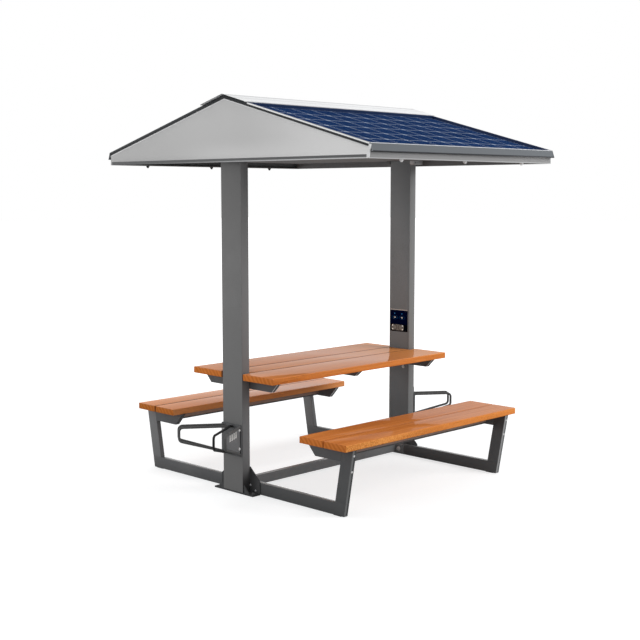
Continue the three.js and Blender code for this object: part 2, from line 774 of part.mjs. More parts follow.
// Ridge: a folded beam between the modules and the white cap over it
function ridgeBeam() {
  const reach = MODULE_START;
  const web = [
    onSlope(reach - RIDGE_SHEET, MODULE_DEPTH),
    onSlope(reach, MODULE_DEPTH),
    onSlope(reach, 0),
    [0, RIDGE_Z],
  ];
  const inside = [
    [0, RIDGE_Z - RIDGE_SHEET / Math.cos(PITCH)],
    onSlope(reach - RIDGE_SHEET, RIDGE_SHEET),
  ];
  const half = alongX([...web, ...inside], -moduleHalf, moduleHalf);
  return fuse(half, mirrorY(half));
}

addNode("ridge_beam", "roof_trim", ridgeBeam());
const capSheet = CAP_THICKNESS / 2;
const capCrown = RIDGE_Z + CAP_THICKNESS / Math.cos(PITCH);
const capHalf = alongX([
  onSlope(CAP_REACH, -FIT),
  onSlope(CAP_REACH, -CAP_THICKNESS),
  [0, capCrown],
  [0, RIDGE_Z + capSheet / Math.cos(PITCH)],
  onSlope(CAP_REACH - CAP_THICKNESS, -capSheet),
  onSlope(CAP_REACH - CAP_THICKNESS, -FIT),
], -CAP_HALF_LENGTH, CAP_HALF_LENGTH);
addNode("ridge_cap", "white_metal", fuse(capHalf, mirrorY(capHalf)));

// Eaves: a folded sheet with a hem on the module, a drip edge and a fascia
function eave() {
  const inner = FASCIA_Y - EAVE_SHEET;
  const webTop = DRIP_Z + EAVE_SHEET;
  const tip = EAVE_Y + DRIP_REACH;
  const sheet = alongX([
    [inner, ROOF_BOTTOM_Z],
    [FASCIA_Y, ROOF_BOTTOM_Z],
    [FASCIA_Y, DRIP_Z],
    [tip, DRIP_Z],
    [EAVE_Y, roofZ(EAVE_Y)],
    onSlope(moduleEnd + FIT, 0),
    onSlope(moduleEnd + FIT, EAVE_HEM),
    [tip - 2 * EAVE_SHEET, webTop],
    [inner, webTop],
  ], -GABLE_X, GABLE_X);
  const flange = block(
    -moduleHalf + TRAY_WALL,
    moduleHalf - TRAY_WALL,
    FASCIA_Y - FASCIA_FLANGE,
    FASCIA_Y,
    ROOF_BOTTOM_Z,
    ROOF_BOTTOM_Z + EAVE_SHEET,
  );
  return fuse(sheet, flange);
}

for (const side of sides) {
  addNode(`eave_${side.name}`, "light_metal", side.place(eave()));
}

// Roof tray: ceiling sheet with walls, standing on the column heads
function roofTray() {
  const top = SOFFIT_Z + SOFFIT_SHEET;
  const wallY = FASCIA_Y - EAVE_SHEET;
  const endInner = moduleHalf - TRAY_WALL;
  const flangeBottom = ROOF_BOTTOM_Z + EAVE_SHEET;
  const soffit = block(-moduleHalf, moduleHalf, -wallY, wallY, SOFFIT_Z, top);
  const sideWall = alongX([
    [wallY - TRAY_FLANGE, flangeBottom],
    [wallY, flangeBottom],
    [wallY, top],
    [wallY - TRAY_WALL, top],
    [wallY - TRAY_WALL, flangeBottom + EAVE_SHEET],
    [wallY - TRAY_FLANGE, flangeBottom + EAVE_SHEET],
  ], -endInner, endInner);
  const endWall = block(endInner, moduleHalf, -wallY, wallY, ROOF_BOTTOM_Z, top);
  const bandY = wallY - GABLE_FOLD;
  const endBand = block(endInner, GABLE_X, -bandY, bandY, ROOF_BOTTOM_Z, GABLE_BOTTOM_Z);
  const end = fuse(endWall, endBand);
  const hole = cylinder(CABLE_HOLE_RADIUS, COLUMN_WALL * 4).translate([CABLE_X, 0, SOFFIT_Z]);
  return fuse(soffit, sideWall, mirrorY(sideWall), end, mirrorX(end)).subtract(hole);
}

addNode("roof_tray", "roof_trim", roofTray());

// Head brackets: cheeks on both column sides, joined behind the gable
function headBracket() {
  const wall = moduleHalf - TRAY_WALL;
  const cheek = alongY(
    roundedRectangle(BRACKET_INNER_X, wall, BRACKET_BOTTOM_Z, SOFFIT_Z, [BRACKET_ROUND, 1, 1, 1]),
    halfColumn,
    halfColumn + BRACKET_WIDTH,
  );
  const hole = cylinder(BRACKET_HOLE_RADIUS, COLUMN_WIDTH * 2)
    .rotate([90, 0, 0])
    .translate([BRACKET_HOLE_X, 0, BRACKET_HOLE_Z]);
  const web = block(
    wall - BRACKET_SHEET,
    wall,
    -halfColumn - BRACKET_WIDTH,
    halfColumn + BRACKET_WIDTH,
    BRACKET_BOTTOM_Z,
    SOFFIT_Z,
  );
  return fuse(cheek.subtract(hole), mirrorY(cheek.subtract(hole)), web);
}

for (const end of ends) {
  addNode(`head_bracket_${end.name}`, "light_metal", end.place(headBracket()));
}

// Charging point: face plate, back box in the column, circuit board and socket plate
const ledYs = [PANEL_Y + USB_Y_OFFSET, PANEL_Y - USB_Y_OFFSET];
const panelFront = COLUMN_INNER_X - PANEL_THICKNESS;
const boardFront = COLUMN_INNER_X + BOARD_SETBACK;

function usbBody(y, x0, x1, grow = 0) {
  const halfWidth = USB_WIDTH / 2 + grow;
  const halfHeight = USB_HEIGHT / 2 + grow;
  return block(x0, x1, y - halfWidth, y + halfWidth, USB_Z - halfHeight, USB_Z + halfHeight);
}

function facePlate() {
  const half = PANEL_SIZE / 2;
  let plate = alongX(
    roundedRectangle(PANEL_Y - half, PANEL_Y + half, PANEL_Z - half, PANEL_Z + half, Array(4).fill(PANEL_ROUND)),
    panelFront,
    COLUMN_INNER_X,
  );
  for (const y of ledYs) {
    plate = plate.subtract(usbBody(y, panelFront - 1, COLUMN_INNER_X + 1, 0.3));
    plate = plate.subtract(cylinderX(LED_RADIUS + 0.3, panelFront - 1, COLUMN_INNER_X + 1, y, LED_Z));
  }
  return plate;
}

function backBox() {
  const end = COLUMN_INNER_X + BOX_DEPTH;
  const outer = block(
    COLUMN_INNER_X,
    end,
    PANEL_Y + boxLow,
    PANEL_Y + boxHigh,
    PANEL_Z + boxLow,
    PANEL_Z + boxHigh,
  );
  const inner = block(
    COLUMN_INNER_X - BOX_WALL,
    end - BOX_WALL,
    PANEL_Y + boxLow + BOX_WALL,
    PANEL_Y + boxHigh - BOX_WALL,
    PANEL_Z + boxLow + BOX_WALL,
    PANEL_Z + boxHigh - BOX_WALL,
  );
  return outer.subtract(inner);
}

function chargeBoard() {
  const middleZ = (USB_Z + LED_Z) / 2;
  const stand = COLUMN_INNER_X + BOX_DEPTH - BOX_WALL;
  let board = block(
    boardFront,
    boardFront + BOARD_THICKNESS,
    PANEL_Y - BOARD_WIDTH / 2,
    PANEL_Y + BOARD_WIDTH / 2,
    middleZ - BOARD_HEIGHT / 2,
    middleZ + BOARD_HEIGHT / 2,
  );
  for (const y of ledYs) {
    board = fuse(
      board,
      usbBody(y, panelFront, boardFront + BOARD_THICKNESS),
      cylinderX(LED_RADIUS, panelFront - 1, boardFront + BOARD_THICKNESS, y, LED_Z),
      cylinderX(LED_RADIUS, boardFront, stand, y, middleZ, ROD_STEPS),
    );
    const halfWidth = USB_MOUTH_WIDTH / 2;
    const halfHeight = USB_MOUTH_HEIGHT / 2;
    const front = panelFront - 1;
    const back = panelFront + USB_MOUTH_DEPTH;
    const mouth = block(front, back, y - halfWidth, y + halfWidth, USB_Z - halfHeight, USB_Z + halfHeight);
    board = board.subtract(mouth);
  }
  return board;
}

addNode("charge_plate", "panel", facePlate());
addNode("charge_box", "housing", backBox());
addNode("charge_board", "board", chargeBoard());
const socketHalf = SOCKET_LENGTH / 2;
addNode("socket_plate", "steel", alongX(
  roundedRectangle(
    SOCKET_Y - socketHalf,
    SOCKET_Y + socketHalf,
    SOCKET_Z - SOCKET_HEIGHT / 2,
    SOCKET_Z + SOCKET_HEIGHT / 2,
    Array(4).fill(SOCKET_HEIGHT * 0.4),
  ),
  panelFront - SOCKET_THICKNESS,
  panelFront,
));

// Battery, charge controller and cables above the ceiling
const trayTop = SOFFIT_Z + SOFFIT_SHEET;
const batteryEnd = BATTERY_LENGTH / 2;
const controllerEnd = batteryEnd + CONTROLLER_LENGTH;
const cableZ = trayTop + CONTROLLER_HEIGHT / 2;
addNode("battery", "housing", block(
  -batteryEnd,
  batteryEnd,
  -BATTERY_WIDTH / 2,
  BATTERY_WIDTH / 2,
  trayTop,
  trayTop + BATTERY_HEIGHT,
));
addNode("charge_controller", "light_metal", block(
  batteryEnd,
  controllerEnd,
  -CONTROLLER_WIDTH / 2,
  CONTROLLER_WIDTH / 2,
  trayTop,
  trayTop + CONTROLLER_HEIGHT,
));

const bend = CABLE_RADIUS * 6;
addNode("cable_charge", "cable", rod(softened([
  [controllerEnd, 0, cableZ],
  [CABLE_X, 0, cableZ],
  [CABLE_X, 0, PANEL_Z + boxHigh],
], bend), CABLE_RADIUS));

const junctionRun = (JUNCTION_START + JUNCTION_END) / 2;
const junctionBottom = onSlope(junctionRun, GLASS_DEPTH + GLASS_THICKNESS + JUNCTION_DEPTH);
const cableStart = onSlope(junctionRun, GLASS_DEPTH + GLASS_THICKNESS + JUNCTION_DEPTH + bend * 2);
const moduleCable = rod(softened([
  [JUNCTION_X, ...junctionBottom],
  [JUNCTION_X, ...cableStart],
  [JUNCTION_X - bend, cableStart[0], cableZ],
  [JUNCTION_X - bend, CONTROLLER_WIDTH / 2, cableZ],
], bend / 2), CABLE_RADIUS);
for (const side of sides) {
  addNode(`cable_module_${side.name}`, "cable", side.place(moduleCable));
}

// Bicycle holders: rod hoops on a wall plate, and a flat plate in the fourth hoop
function outward(hoop, run) {
  const back = hoop.out - run;
  return [COLUMN_OUTER_X + run, -(hoop.side - back * Math.tan(hoop.turn))];
}

const rodStart = RACK_PLATE_THICKNESS - ROD_BITE;

function hoopEnd(hoop) {
  return hoop.out - ROD_RADIUS * Math.cos(hoop.turn);
}

function hoopRod(hoop) {
  const end = hoopEnd(hoop);
  const top = RACK_TOP_Z - ROD_RADIUS;
  return rod(softened([
    [...outward(hoop, rodStart), top],
    [...outward(hoop, end), top],
    [...outward(hoop, end), RACK_END_BOTTOM_Z + ROD_RADIUS],
    [...outward(hoop, rodStart), RACK_ROOT_BOTTOM_Z + ROD_RADIUS],
  ], ROD_BEND), ROD_RADIUS);
}

function rack() {
  const plate = block(
    COLUMN_OUTER_X,
    COLUMN_OUTER_X + RACK_PLATE_THICKNESS,
    -RACK_PLATE_RIGHT_Y,
    -RACK_PLATE_LEFT_Y,
    RACK_ROOT_BOTTOM_Z - RACK_PLATE_MARGIN,
    RACK_TOP_Z + RACK_PLATE_MARGIN,
  );
  return fuse(plate, ...HOOPS.map(hoopRod));
}

// The flat plate fills the last hoop: drawn upright in X and Z, then turned into its direction
function infill() {
  const hoop = HOOP_B_OUTER;
  const across = Math.cos(hoop.turn);
  const rodDepth = 2 * ROD_RADIUS + FIT;
  const length = (hoop.out - RACK_PLATE_THICKNESS) / across - rodDepth;
  const top = RACK_TOP_Z - rodDepth;
  const rise = (RACK_END_BOTTOM_Z - RACK_ROOT_BOTTOM_Z) / (hoopEnd(hoop) - rodStart);
  const low = (along) => RACK_ROOT_BOTTOM_Z + rodDepth + 2 * FIT + rise * (along * across + ROD_BITE);
  const lean = INFILL_THICKNESS;
  const outline = [
    [-lean, low(-lean)],
    [length - INFILL_CORNER, low(length - INFILL_CORNER)],
    [length, low(length) + INFILL_CORNER],
    [length, top - INFILL_CORNER],
    [length - INFILL_CORNER, top],
    [-lean, top],
  ];
  let sheet = alongY(outline, -INFILL_THICKNESS / 2, INFILL_THICKNESS / 2);
  const slotZ = RACK_TOP_Z - INFILL_SLOT_DROP;
  for (let slot = 0; slot < INFILL_SLOTS; slot += 1) {
    const x = length - INFILL_SLOT_MARGIN - slot * INFILL_SLOT_STEP;
    sheet = sheet.subtract(block(
      x - INFILL_SLOT_WIDTH / 2,
      x + INFILL_SLOT_WIDTH / 2,
      -INFILL_THICKNESS,
      INFILL_THICKNESS,
      slotZ - INFILL_SLOT_HEIGHT / 2,
      slotZ + INFILL_SLOT_HEIGHT / 2,
    ));
  }
  const [rootX, rootY] = outward(hoop, RACK_PLATE_THICKNESS);
  const wall = block(
    COLUMN_INNER_X,
    rootX,
    -COLUMN_WIDTH,
    COLUMN_WIDTH,
    0,
    RACK_TOP_Z + RACK_PLATE_MARGIN,
  );
  return sheet.rotate([0, 0, -THREE.MathUtils.radToDeg(hoop.turn)]).translate([rootX, rootY, 0]).subtract(wall);
}

for (const end of ends) {
  addNode(`bike_holder_${end.name}`, "dark_metal", end.place(rack()));
  addNode(`bike_plate_${end.name}`, "dark_metal", end.place(infill()));
}

export default root;
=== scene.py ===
# %% [markdown]
# A solar charging bench stands in a park: a table and two benches hang between
# two columns, and the columns carry a pitched roof of solar modules. This lesson
# dresses the finished solids of that bench in Blender. The solids stay where they
# are, and every finish is made from nodes, so nothing is read from a picture.

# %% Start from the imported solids
import json
import math
from functools import partialmethod

import bmesh
import bpy
from mathutils import Matrix, Vector


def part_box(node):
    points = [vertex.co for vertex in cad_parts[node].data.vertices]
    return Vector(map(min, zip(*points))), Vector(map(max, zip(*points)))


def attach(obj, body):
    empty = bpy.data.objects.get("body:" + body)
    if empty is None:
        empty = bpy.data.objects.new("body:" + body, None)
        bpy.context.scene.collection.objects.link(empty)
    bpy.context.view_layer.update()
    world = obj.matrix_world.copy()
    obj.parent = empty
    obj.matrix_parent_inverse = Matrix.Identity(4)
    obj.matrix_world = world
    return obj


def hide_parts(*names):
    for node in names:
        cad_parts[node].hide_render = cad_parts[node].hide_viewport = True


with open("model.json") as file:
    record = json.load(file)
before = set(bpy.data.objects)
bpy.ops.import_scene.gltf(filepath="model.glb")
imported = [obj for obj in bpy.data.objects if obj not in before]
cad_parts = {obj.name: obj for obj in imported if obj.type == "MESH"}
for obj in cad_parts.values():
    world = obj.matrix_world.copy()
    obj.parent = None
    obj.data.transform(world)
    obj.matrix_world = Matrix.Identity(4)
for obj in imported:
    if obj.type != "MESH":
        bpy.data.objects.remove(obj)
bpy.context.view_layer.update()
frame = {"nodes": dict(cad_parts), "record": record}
nodes = frame["nodes"]

# %% [markdown]
# Blender measures colours in linear light, while a paint chart or a photograph is
# read in display values from 0 to 255. One small function turns the second into the
# first, so that every colour below can be written as one would read it off the bench.


# %% Colours as they are read
def paint(colour):
    """Three display values, 0 to 255, as linear light. Four values are linear already."""
    if len(colour) == 4:
        return colour
    linear = []
    for value in colour:
        share = value / 255
        if share <= 0.04045:
            linear.append(share / 12.92)
        else:
            linear.append(((share + 0.055) / 1.055) ** 2.4)
    return (*linear, 1.0)


def dimmed(colour, share):
    return [value * share for value in colour]


print("mid grey:", [round(value, 3) for value in paint((128, 128, 128))])

# %% [markdown]
# A finish is a small network of nodes. Wiring it by hand takes many lines, so one
# function adds a node with its links, and a class lets ordinary arithmetic add the
# Math nodes. A last class keeps one material, and builds its colour up as a painter
# does: a base first, then one thin layer after another, each where its mask allows.


# %% Shader maths as plain arithmetic
def add_node(tree, kind, links, **settings):
    """Adds a node and returns its outputs; links hold fields, sockets or plain values."""
    node = tree.nodes.new(kind)
    for key, value in settings.items():
        setattr(node, key, value)
    for key, value in links.items():
        value = getattr(value, "socket", value)
        if isinstance(value, bpy.types.NodeSocket):
            tree.links.new(value, node.inputs[key])
        else:
            node.inputs[key].default_value = value
    return node.outputs


class Field:
    """A value that changes over a surface: the output socket of a node."""

    def __init__(self, finish, socket):
        self.finish = finish
        self.socket = socket

    def maths(self, operation, *others):
        links = dict(enumerate((self, *others)))
        return self.finish.add("Math", links, operation=operation)[0]

    def __rsub__(self, other):
        return self.finish.add("Math", {0: other, 1: self}, operation="SUBTRACT")[0]

    __add__ = __radd__ = partialmethod(maths, "ADD")
    __mul__ = __rmul__ = partialmethod(maths, "MULTIPLY")
    __sub__ = partialmethod(maths, "SUBTRACT")
    __truediv__ = partialmethod(maths, "DIVIDE")
    __abs__ = partialmethod(maths, "ABSOLUTE")
    __gt__ = partialmethod(maths, "GREATER_THAN")
    __lt__ = partialmethod(maths, "LESS_THAN")
    power = partialmethod(maths, "POWER")
    fraction = partialmethod(maths, "FRACT")

    def rising(self, low, high):
        """0 below low, 1 above high, and a smooth slope between them."""
        ramp = {"From Min": low, "From Max": high, "Value": self}
        return self.finish.add("MapRange", ramp, interpolation_type="SMOOTHSTEP")[0]


class Added:
    """A node just added, whose outputs are read by name or number."""

    def __init__(self, finish, outputs):
        self.finish = finish
        self.outputs = outputs

    def __getitem__(self, key):
        return Field(self.finish, self.outputs[key])


class Finish:
    """One material, built from nodes."""

    def __init__(self, name, **constants):
        self.material = bpy.data.materials.new(name)
        self.material.use_nodes = True
        self.tree = self.material.node_tree
        self.shader = next(n for n in self.tree.nodes if n.type == "BSDF_PRINCIPLED")
        for key, value in constants.items():
            self.shader.inputs[key.replace("_", " ")].default_value = value
        self.place = self.add("TexCoord", {})["Object"]

    def add(self, kind, links, **settings):
        return Added(self, add_node(self.tree, "ShaderNode" + kind, links, **settings))

    def axes(self, field=None):
        split = self.add("SeparateXYZ", {0: field or self.place})
        return split[0], split[1], split[2]

    def stretched(self, scale, turn=(0, 0, 0), shift=(0, 0, 0)):
        links = {"Vector": self.place, "Scale": scale, "Rotation": turn, "Location": shift}
        return self.add("Mapping", links)[0]

    def noise(self, scale, detail=4.0, roughness=0.55, where=None, distortion=0.0):
        links = {"Vector": where or self.place, "Scale": scale, "Detail": detail,
                 "Roughness": roughness, "Distortion": distortion}
        return self.add("TexNoise", links)[0]

    def bands(self, where, scale, distortion, detail_scale, detail_roughness=0.5):
        links = {"Vector": where, "Scale": scale, "Distortion": distortion, "Detail": 3.0,
                 "Detail Scale": detail_scale, "Detail Roughness": detail_roughness}
        return self.add("TexWave", links, wave_type="BANDS", bands_direction="Y")["Fac"]

    def blend(self, share, first, second):
        """The first colour where share is 0, the second where it is 1."""
        ends = [end if isinstance(end, Field) else paint(end) for end in (first, second)]
        return self.add("Mix", {0: share, 6: ends[0], 7: ends[1]}, data_type="RGBA")[2]

    def feed(self, socket, field):
        self.tree.links.new(field.socket, self.shader.inputs[socket])

    def base(self, share, first, second):
        """Starts the colour as a blend of two."""
        self.shade = self.blend(share, first, second)
        self.feed("Base Color", self.shade)

    def layer(self, share, colour):
        """Lays one more colour over what is there."""
        self.base(share, self.shade, colour)

    def relief(self, height, distance, strength):
        links = {"Height": height, "Distance": distance, "Strength": strength}
        self.feed("Normal", self.add("Bump", links)[0])


def names_of(*finishes):
    return [finish.material.name for finish in finishes]


print("a finish adds its nodes through one method")

# %% [markdown]
# The frames are steel tube with a powder coat in dark grey. Powder melts into
# a skin with a faint orange-peel surface, a little cloudiness, and dust that settles
# low down. The same recipe in other colours serves the roof's trims and panels. The
# beams near the ground catch the sky on their upper faces, so those have a clear coat.

# %% Powder-coated metal
DUST = (112, 112, 108)
BEAM_TOP_BAND = (0.0752, 0.0776)


def powder_coat(name, colour, worn, roughness=0.5, dust=0.0):
    finish = Finish(name, Specular_IOR_Level=0.15, Coat_Roughness=0.12)
    clouds = finish.noise(3.2, 5.0, 0.6)
    speck = finish.noise(260.0, 2.0, 0.5)
    peel = finish.noise(900.0, 1.0, 0.4)
    finish.base(clouds.rising(0.35, 0.7), colour, worn)
    finish.layer(speck.rising(0.54, 0.7) * 0.42, dimmed(colour, 0.7))
    if dust:
        low = (1.0 - finish.axes()[2].rising(0.0, 0.35)) * dust
        patch = finish.noise(9.0, 6.0, 0.65).rising(0.35, 0.75)
        finish.layer(low * patch, DUST)
    finish.feed("Roughness", clouds * 0.14 + (roughness - 0.07))
    finish.relief(peel * 0.7 + speck * 0.3, 0.00025, 0.35)
    return finish


def frame_coat(name):
    """The dark grey of the frame."""
    return powder_coat(name, (92, 93, 95), (99, 100, 101), 0.52, 0.25)


def beam_top(height):
    """1 on the upper faces of the beams near the ground."""
    return (height > BEAM_TOP_BAND[0]) * (height < BEAM_TOP_BAND[1])


dark_coat = frame_coat("coat_dark_grey")
dark_coat.feed("Coat Weight", beam_top(dark_coat.axes()[2]))
trim_coat = powder_coat("coat_roof_trim", (52, 54, 56), (60, 62, 63))
panel_coat = powder_coat("coat_light_grey", (186, 187, 188), (192, 193, 193))
cap_coat = powder_coat("coat_white", (238, 239, 240), (232, 233, 234), 0.45)
print("powder coats:", names_of(dark_coat, trim_coat, panel_coat, cap_coat))

# %% [markdown]
# The roof's sheets carry painted light and shade: each gable grows paler towards its
# end's right-hand half, and a few folds and a bevel carry painted highlights. Masks in
# Object coordinates place them. The two ends are the same part turned half round, so a
# mask reads Y with the sign of X: it is above zero on each end's right-hand half.

# %% Gables and verges
PITCH = math.radians(15.08)
SLOPE = math.tan(PITCH)
EAVE_TOP_Z = 2.109
RIDGE_Z = EAVE_TOP_Z + 1.171 * SLOPE
GABLE_FOLD_Z = 2.3958
GABLE_FOLD_END = 1.1465
GABLE_CORNER = 1.1655
BEVEL_LOW = 0.0082
BEVEL_HIGH = 0.0003


def own_side(x, y):
    """Y with the sign of X."""
    return y * (x / abs(x))


gable = powder_coat("coat_gable", (170, 171, 172), (176, 177, 178))
x, y, z = gable.axes()
side = own_side(x, y)
# painted light: each gable grows paler towards its end's right-hand half
gable.base(side.rising(-1.0, 0.1), (185, 185, 185), (200, 200, 200))
gable.layer(side.rising(0.1, 1.1), (240, 240, 240))
# painted light low on the gable's right-hand half
low_light = (2.17 - z).rising(0.0, 0.12) * side.rising(-0.6, 0.2)
gable.layer(low_light * 0.35, (240, 240, 240))
# painted highlights along the top fold and on the corner folds
top_fold = (z + abs(y) * SLOPE > GABLE_FOLD_Z) * (abs(y) < GABLE_FOLD_END)
gable.layer(top_fold * 0.75, (236, 237, 238))
gable.layer(abs(y) > GABLE_CORNER, (248, 248, 248))

verge = powder_coat("coat_verge", (48, 50, 52), (56, 58, 60), 0.45)
x, y, z = verge.axes()
under_ridge = z + abs(y) * SLOPE
bevel = (under_ridge > RIDGE_Z - BEVEL_LOW) * (under_ridge < RIDGE_Z - BEVEL_HIGH)
# painted highlight on the bevel, on each end's right-hand half only
verge.layer(bevel * own_side(x, y).rising(0.2, 0.215), (250, 250, 250))
verge.layer(under_ridge > RIDGE_Z - BEVEL_HIGH, (40, 42, 44))
print("gable folds end at", GABLE_FOLD_END, "m, ridge at", round(RIDGE_Z, 4), "m")

# %% [markdown]
# An eave is a deep folded sheet below the modules. Its face is painted darker towards
# its foot, its upper flange, a line below that flange and its ends carry painted shade,
# and its hem and lip carry painted highlights. The tray is the ceiling, with a painted
# highlight along its lip, and the ridge cap is a white folded sheet with painted shade
# along its folds and on its ends.

# %% Eaves, tray and ridge cap
EAVE_FLANGE = 1.1702
EAVE_END = 0.8535
TRAY_END = 0.8555
CAP_END = 0.8765

eave = powder_coat("coat_eave", (178, 179, 180), (184, 185, 186), 0.48)
x, y, z = eave.axes()
line_z = z - x.rising(-0.85, 0.85) * 0.0025
# painted shade: the face grows darker towards its foot
eave.base(z.rising(2.030, 2.062), (147, 147, 147), (166, 166, 167))
# painted shade on the upper flange
eave.layer((abs(y) > EAVE_FLANGE) * (line_z > 2.0678), (104, 108, 112))
# painted highlight along the hem
hem = (z > EAVE_TOP_Z - 0.0085) * (abs(y) < 1.1715)
eave.layer(hem, (246, 247, 248))
# painted shadow line below the flange
shadow_line = (line_z > 2.0614) * (line_z < 2.0682)
eave.layer(shadow_line, (52, 54, 57))
# painted highlight along the lip
lip = (z < 2.0325) * (abs(y) > 1.158)
eave.layer(lip, (180, 181, 182))
# painted shade on both ends, deeper on the far one
eave.layer((x > EAVE_END) * (z > 2.0600), (44, 46, 48))
eave.layer(x < -EAVE_END, (120, 123, 126))

tray = powder_coat("coat_tray", (109, 110, 111), (114, 115, 116), 0.55)
x, y, z = tray.axes()
outside = abs(x) > TRAY_END
tray.layer(outside, (104, 105, 106))
# painted highlight along the lower lip of each end band
lip = outside * (z < 2.0335) * own_side(x, y).rising(-0.9, 0.9)
tray.layer(lip * 0.9, (214, 215, 216))

ridge_cap = powder_coat("coat_ridge_cap", (232, 233, 234), (228, 229, 230), 0.45)
x, y, z = ridge_cap.axes()
# painted shade along the cap's two folds, and on its ends
upper_fold = abs(abs(y) - 0.022) < 0.012
lower_fold = abs(abs(y) - 0.100) < 0.012
ridge_cap.layer(upper_fold * 0.8 + lower_fold * 0.4, (188, 189, 190))
ridge_cap.layer(abs(x) > CAP_END, (60, 62, 64))
print("roof sheets:", names_of(gable, verge, eave, tray, ridge_cap))

# %% [markdown]
# The arms below the seats and the table are cut at a slant. The cut face carries two
# painted highlights along its rims, with painted shade between them. A mask finds the
# slanted face as the plane through two heights of its outline.

# %% Arms with slanted cuts
FRAME_X = 0.730
ARM_HALF = 0.016
CUT_RIM = 0.0085
CUT_SKIN = 0.0012


def cut_arm(name, top, low, middle_x):
    """The frame's coat, with painted highlights and painted shade on a cut from top to low, each (y, z).
    """
    finish = frame_coat(name)
    x, y, z = finish.axes()
    cut_y = (z - top[1]) * ((top[0] - low[0]) / (top[1] - low[1])) + top[0]
    if low[0] < top[0]:
        on_cut = abs(y) > cut_y - CUT_SKIN
    else:
        on_cut = (abs(y) < cut_y + CUT_SKIN) * (x * y > 0.0)
    rim = abs(abs(x) - middle_x) > ARM_HALF - CUT_RIM
    # painted highlights on the rims of the cut, painted shade between them
    finish.layer(on_cut, finish.blend(rim, (64, 65, 66), (205, 206, 208)))
    return finish


table_arm = cut_arm("coat_table_arm", (0.338, 0.710), (0.280, 0.650), FRAME_X)
batten = cut_arm("coat_batten", (0.336, 0.710), (0.285, 0.668), 0.0)
seat_arm = cut_arm("coat_seat_arm", (0.5784, 0.400), (0.6484, 0.322), FRAME_X)
print("cut arms:", names_of(table_arm, batten, seat_arm))

# %% [markdown]
# The wheel rack is a plate with a row of slots, turned 30 degrees. Its coat is a paler
# grey as painted light, and the walls of its slots carry a painted highlight. The seat
# rails carry a painted warm reflection of the planks above them.

# %% Rails, floor beam and rack
RACK_X = 0.820
RACK_Y = 0.07397
RACK_TURN = math.radians(30)
SLOT_STEP = 0.036
SLOT_HALF = 0.0088

rail = powder_coat("coat_seat_rail", (94, 94, 95), (100, 100, 101))
# painted warm reflection of the planks on the rail's upper part
rail.layer(rail.axes()[2] > 0.336, (168, 146, 134))

beam = powder_coat("coat_floor_beam", (120, 122, 124), (126, 128, 130), 0.52, 0.2)
x, y, z = beam.axes()
cap_nut = (abs(x) < 0.7057) * (abs(y) > 0.024)
beam.layer(cap_nut, (186, 184, 182))
beam.feed("Coat Weight", beam_top(z))

# painted light: a paler grey than the frame's coat
rack = powder_coat("coat_rack_plate", (112, 113, 115), (118, 119, 120))
x, y, z = rack.axes()
out_x = abs(x) - RACK_X
out_y = own_side(x, y) - RACK_Y
along = out_x * math.cos(RACK_TURN) + out_y * math.sin(RACK_TURN)
in_step = ((along - 0.0805) / SLOT_STEP + 0.5).fraction() - 0.5
in_row = (along > 0.066) * (along < 0.203) * (abs(z - 0.388) < 0.0192)
# painted highlight on the walls of the slots
rack.layer((abs(in_step) < SLOT_HALF / SLOT_STEP) * in_row, (244, 242, 238))

rod_coat = powder_coat("coat_rods", (86, 86, 86), (94, 94, 94), 0.45)
x, y, z = rod_coat.axes()
side = own_side(x, y)
across = (side - RACK_Y) * math.cos(RACK_TURN) - (abs(x) - RACK_X) * math.sin(RACK_TURN)
# painted shade: one short hoop of each holder is dark
short_hoop = (side > 0.0) * (across < -0.035) * (z > 0.335)
rod_coat.layer(short_hoop, (36, 36, 37))
print("coats by mask:", names_of(rail, beam, rack, rod_coat))

# %% [markdown]
# The frame's greys carry painted light and shade. A column's narrow face towards the
# camera has painted light, painted shade gathers at its foot, and a painted highlight
# runs above the charging panel. The columns, the left and right legs and the base feet
# each take their own grey, painted for the light on them. The legs and the ends of the
# foot beams lean by ten degrees, and their outward faces have painted light on one half
# and painted shade on the other.

# %% Columns and legs
COLUMN_FACE_Y = -0.0885
LEAN_SLOPE = 0.1745
OUTER_FACE_Y = 0.8795


def column_coat(name, wide, narrow, dusk):
    """A column's coat with painted light and shade: dusk holds the shares of its low wide, low narrow
    and high wide tones.
    """
    finish = powder_coat(name, wide, [c + 7 for c in wide], 0.52, 0.2)
    x, y, z = finish.axes()
    upward = z.rising(0.6, 1.5)
    # painted shade: the wide faces grow darker towards the foot
    finish.base(upward, dimmed(wide, dusk[0]), finish.shade)
    # painted shade near the top
    finish.layer(z.rising(1.4, 1.95), dimmed(wide, dusk[2]))
    near_face = y < COLUMN_FACE_Y
    # painted light on the narrow face towards the camera
    finish.layer(near_face, finish.blend(upward, dimmed(narrow, dusk[1]), narrow))
    # painted shade at the foot of that narrow face
    finish.layer(near_face * (0.17 - z).rising(0.0, 0.11) * 0.75, (26, 27, 28))
    # painted highlight along the column just above the charging panel
    rim = (x > 0.0) * (x < 0.7525) * (abs(y - 0.004) < 0.077) * (abs(z - 1.0235) < 0.0030)
    finish.layer(rim, (196, 184, 176))
    return finish


def outer_face(finish):
    """Adds painted light and shade to the faces that look outwards: a pale half towards the camera
    beside a dark one.
    """
    x, y, z = finish.axes()
    pale = (x < -FRAME_X) + (x > 0.0) * (x < FRAME_X)
    dim = finish.blend(x > 0.0, (70, 71, 72), (102, 103, 104))
    face = finish.blend(pale, dim, finish.blend(x > 0.0, (114, 115, 116), (153, 154, 155)))
    finish.layer(y < (0.0 - z) * LEAN_SLOPE - OUTER_FACE_Y, face)


# the two columns take different greys, painted for the light on each
column_near = column_coat("coat_column_near", (119, 119, 119), (126, 126, 127), (0.99, 0.90, 0.92))
column_far = column_coat("coat_column_far", (125, 128, 130), (130, 131, 131), (0.90, 0.96, 1.0))
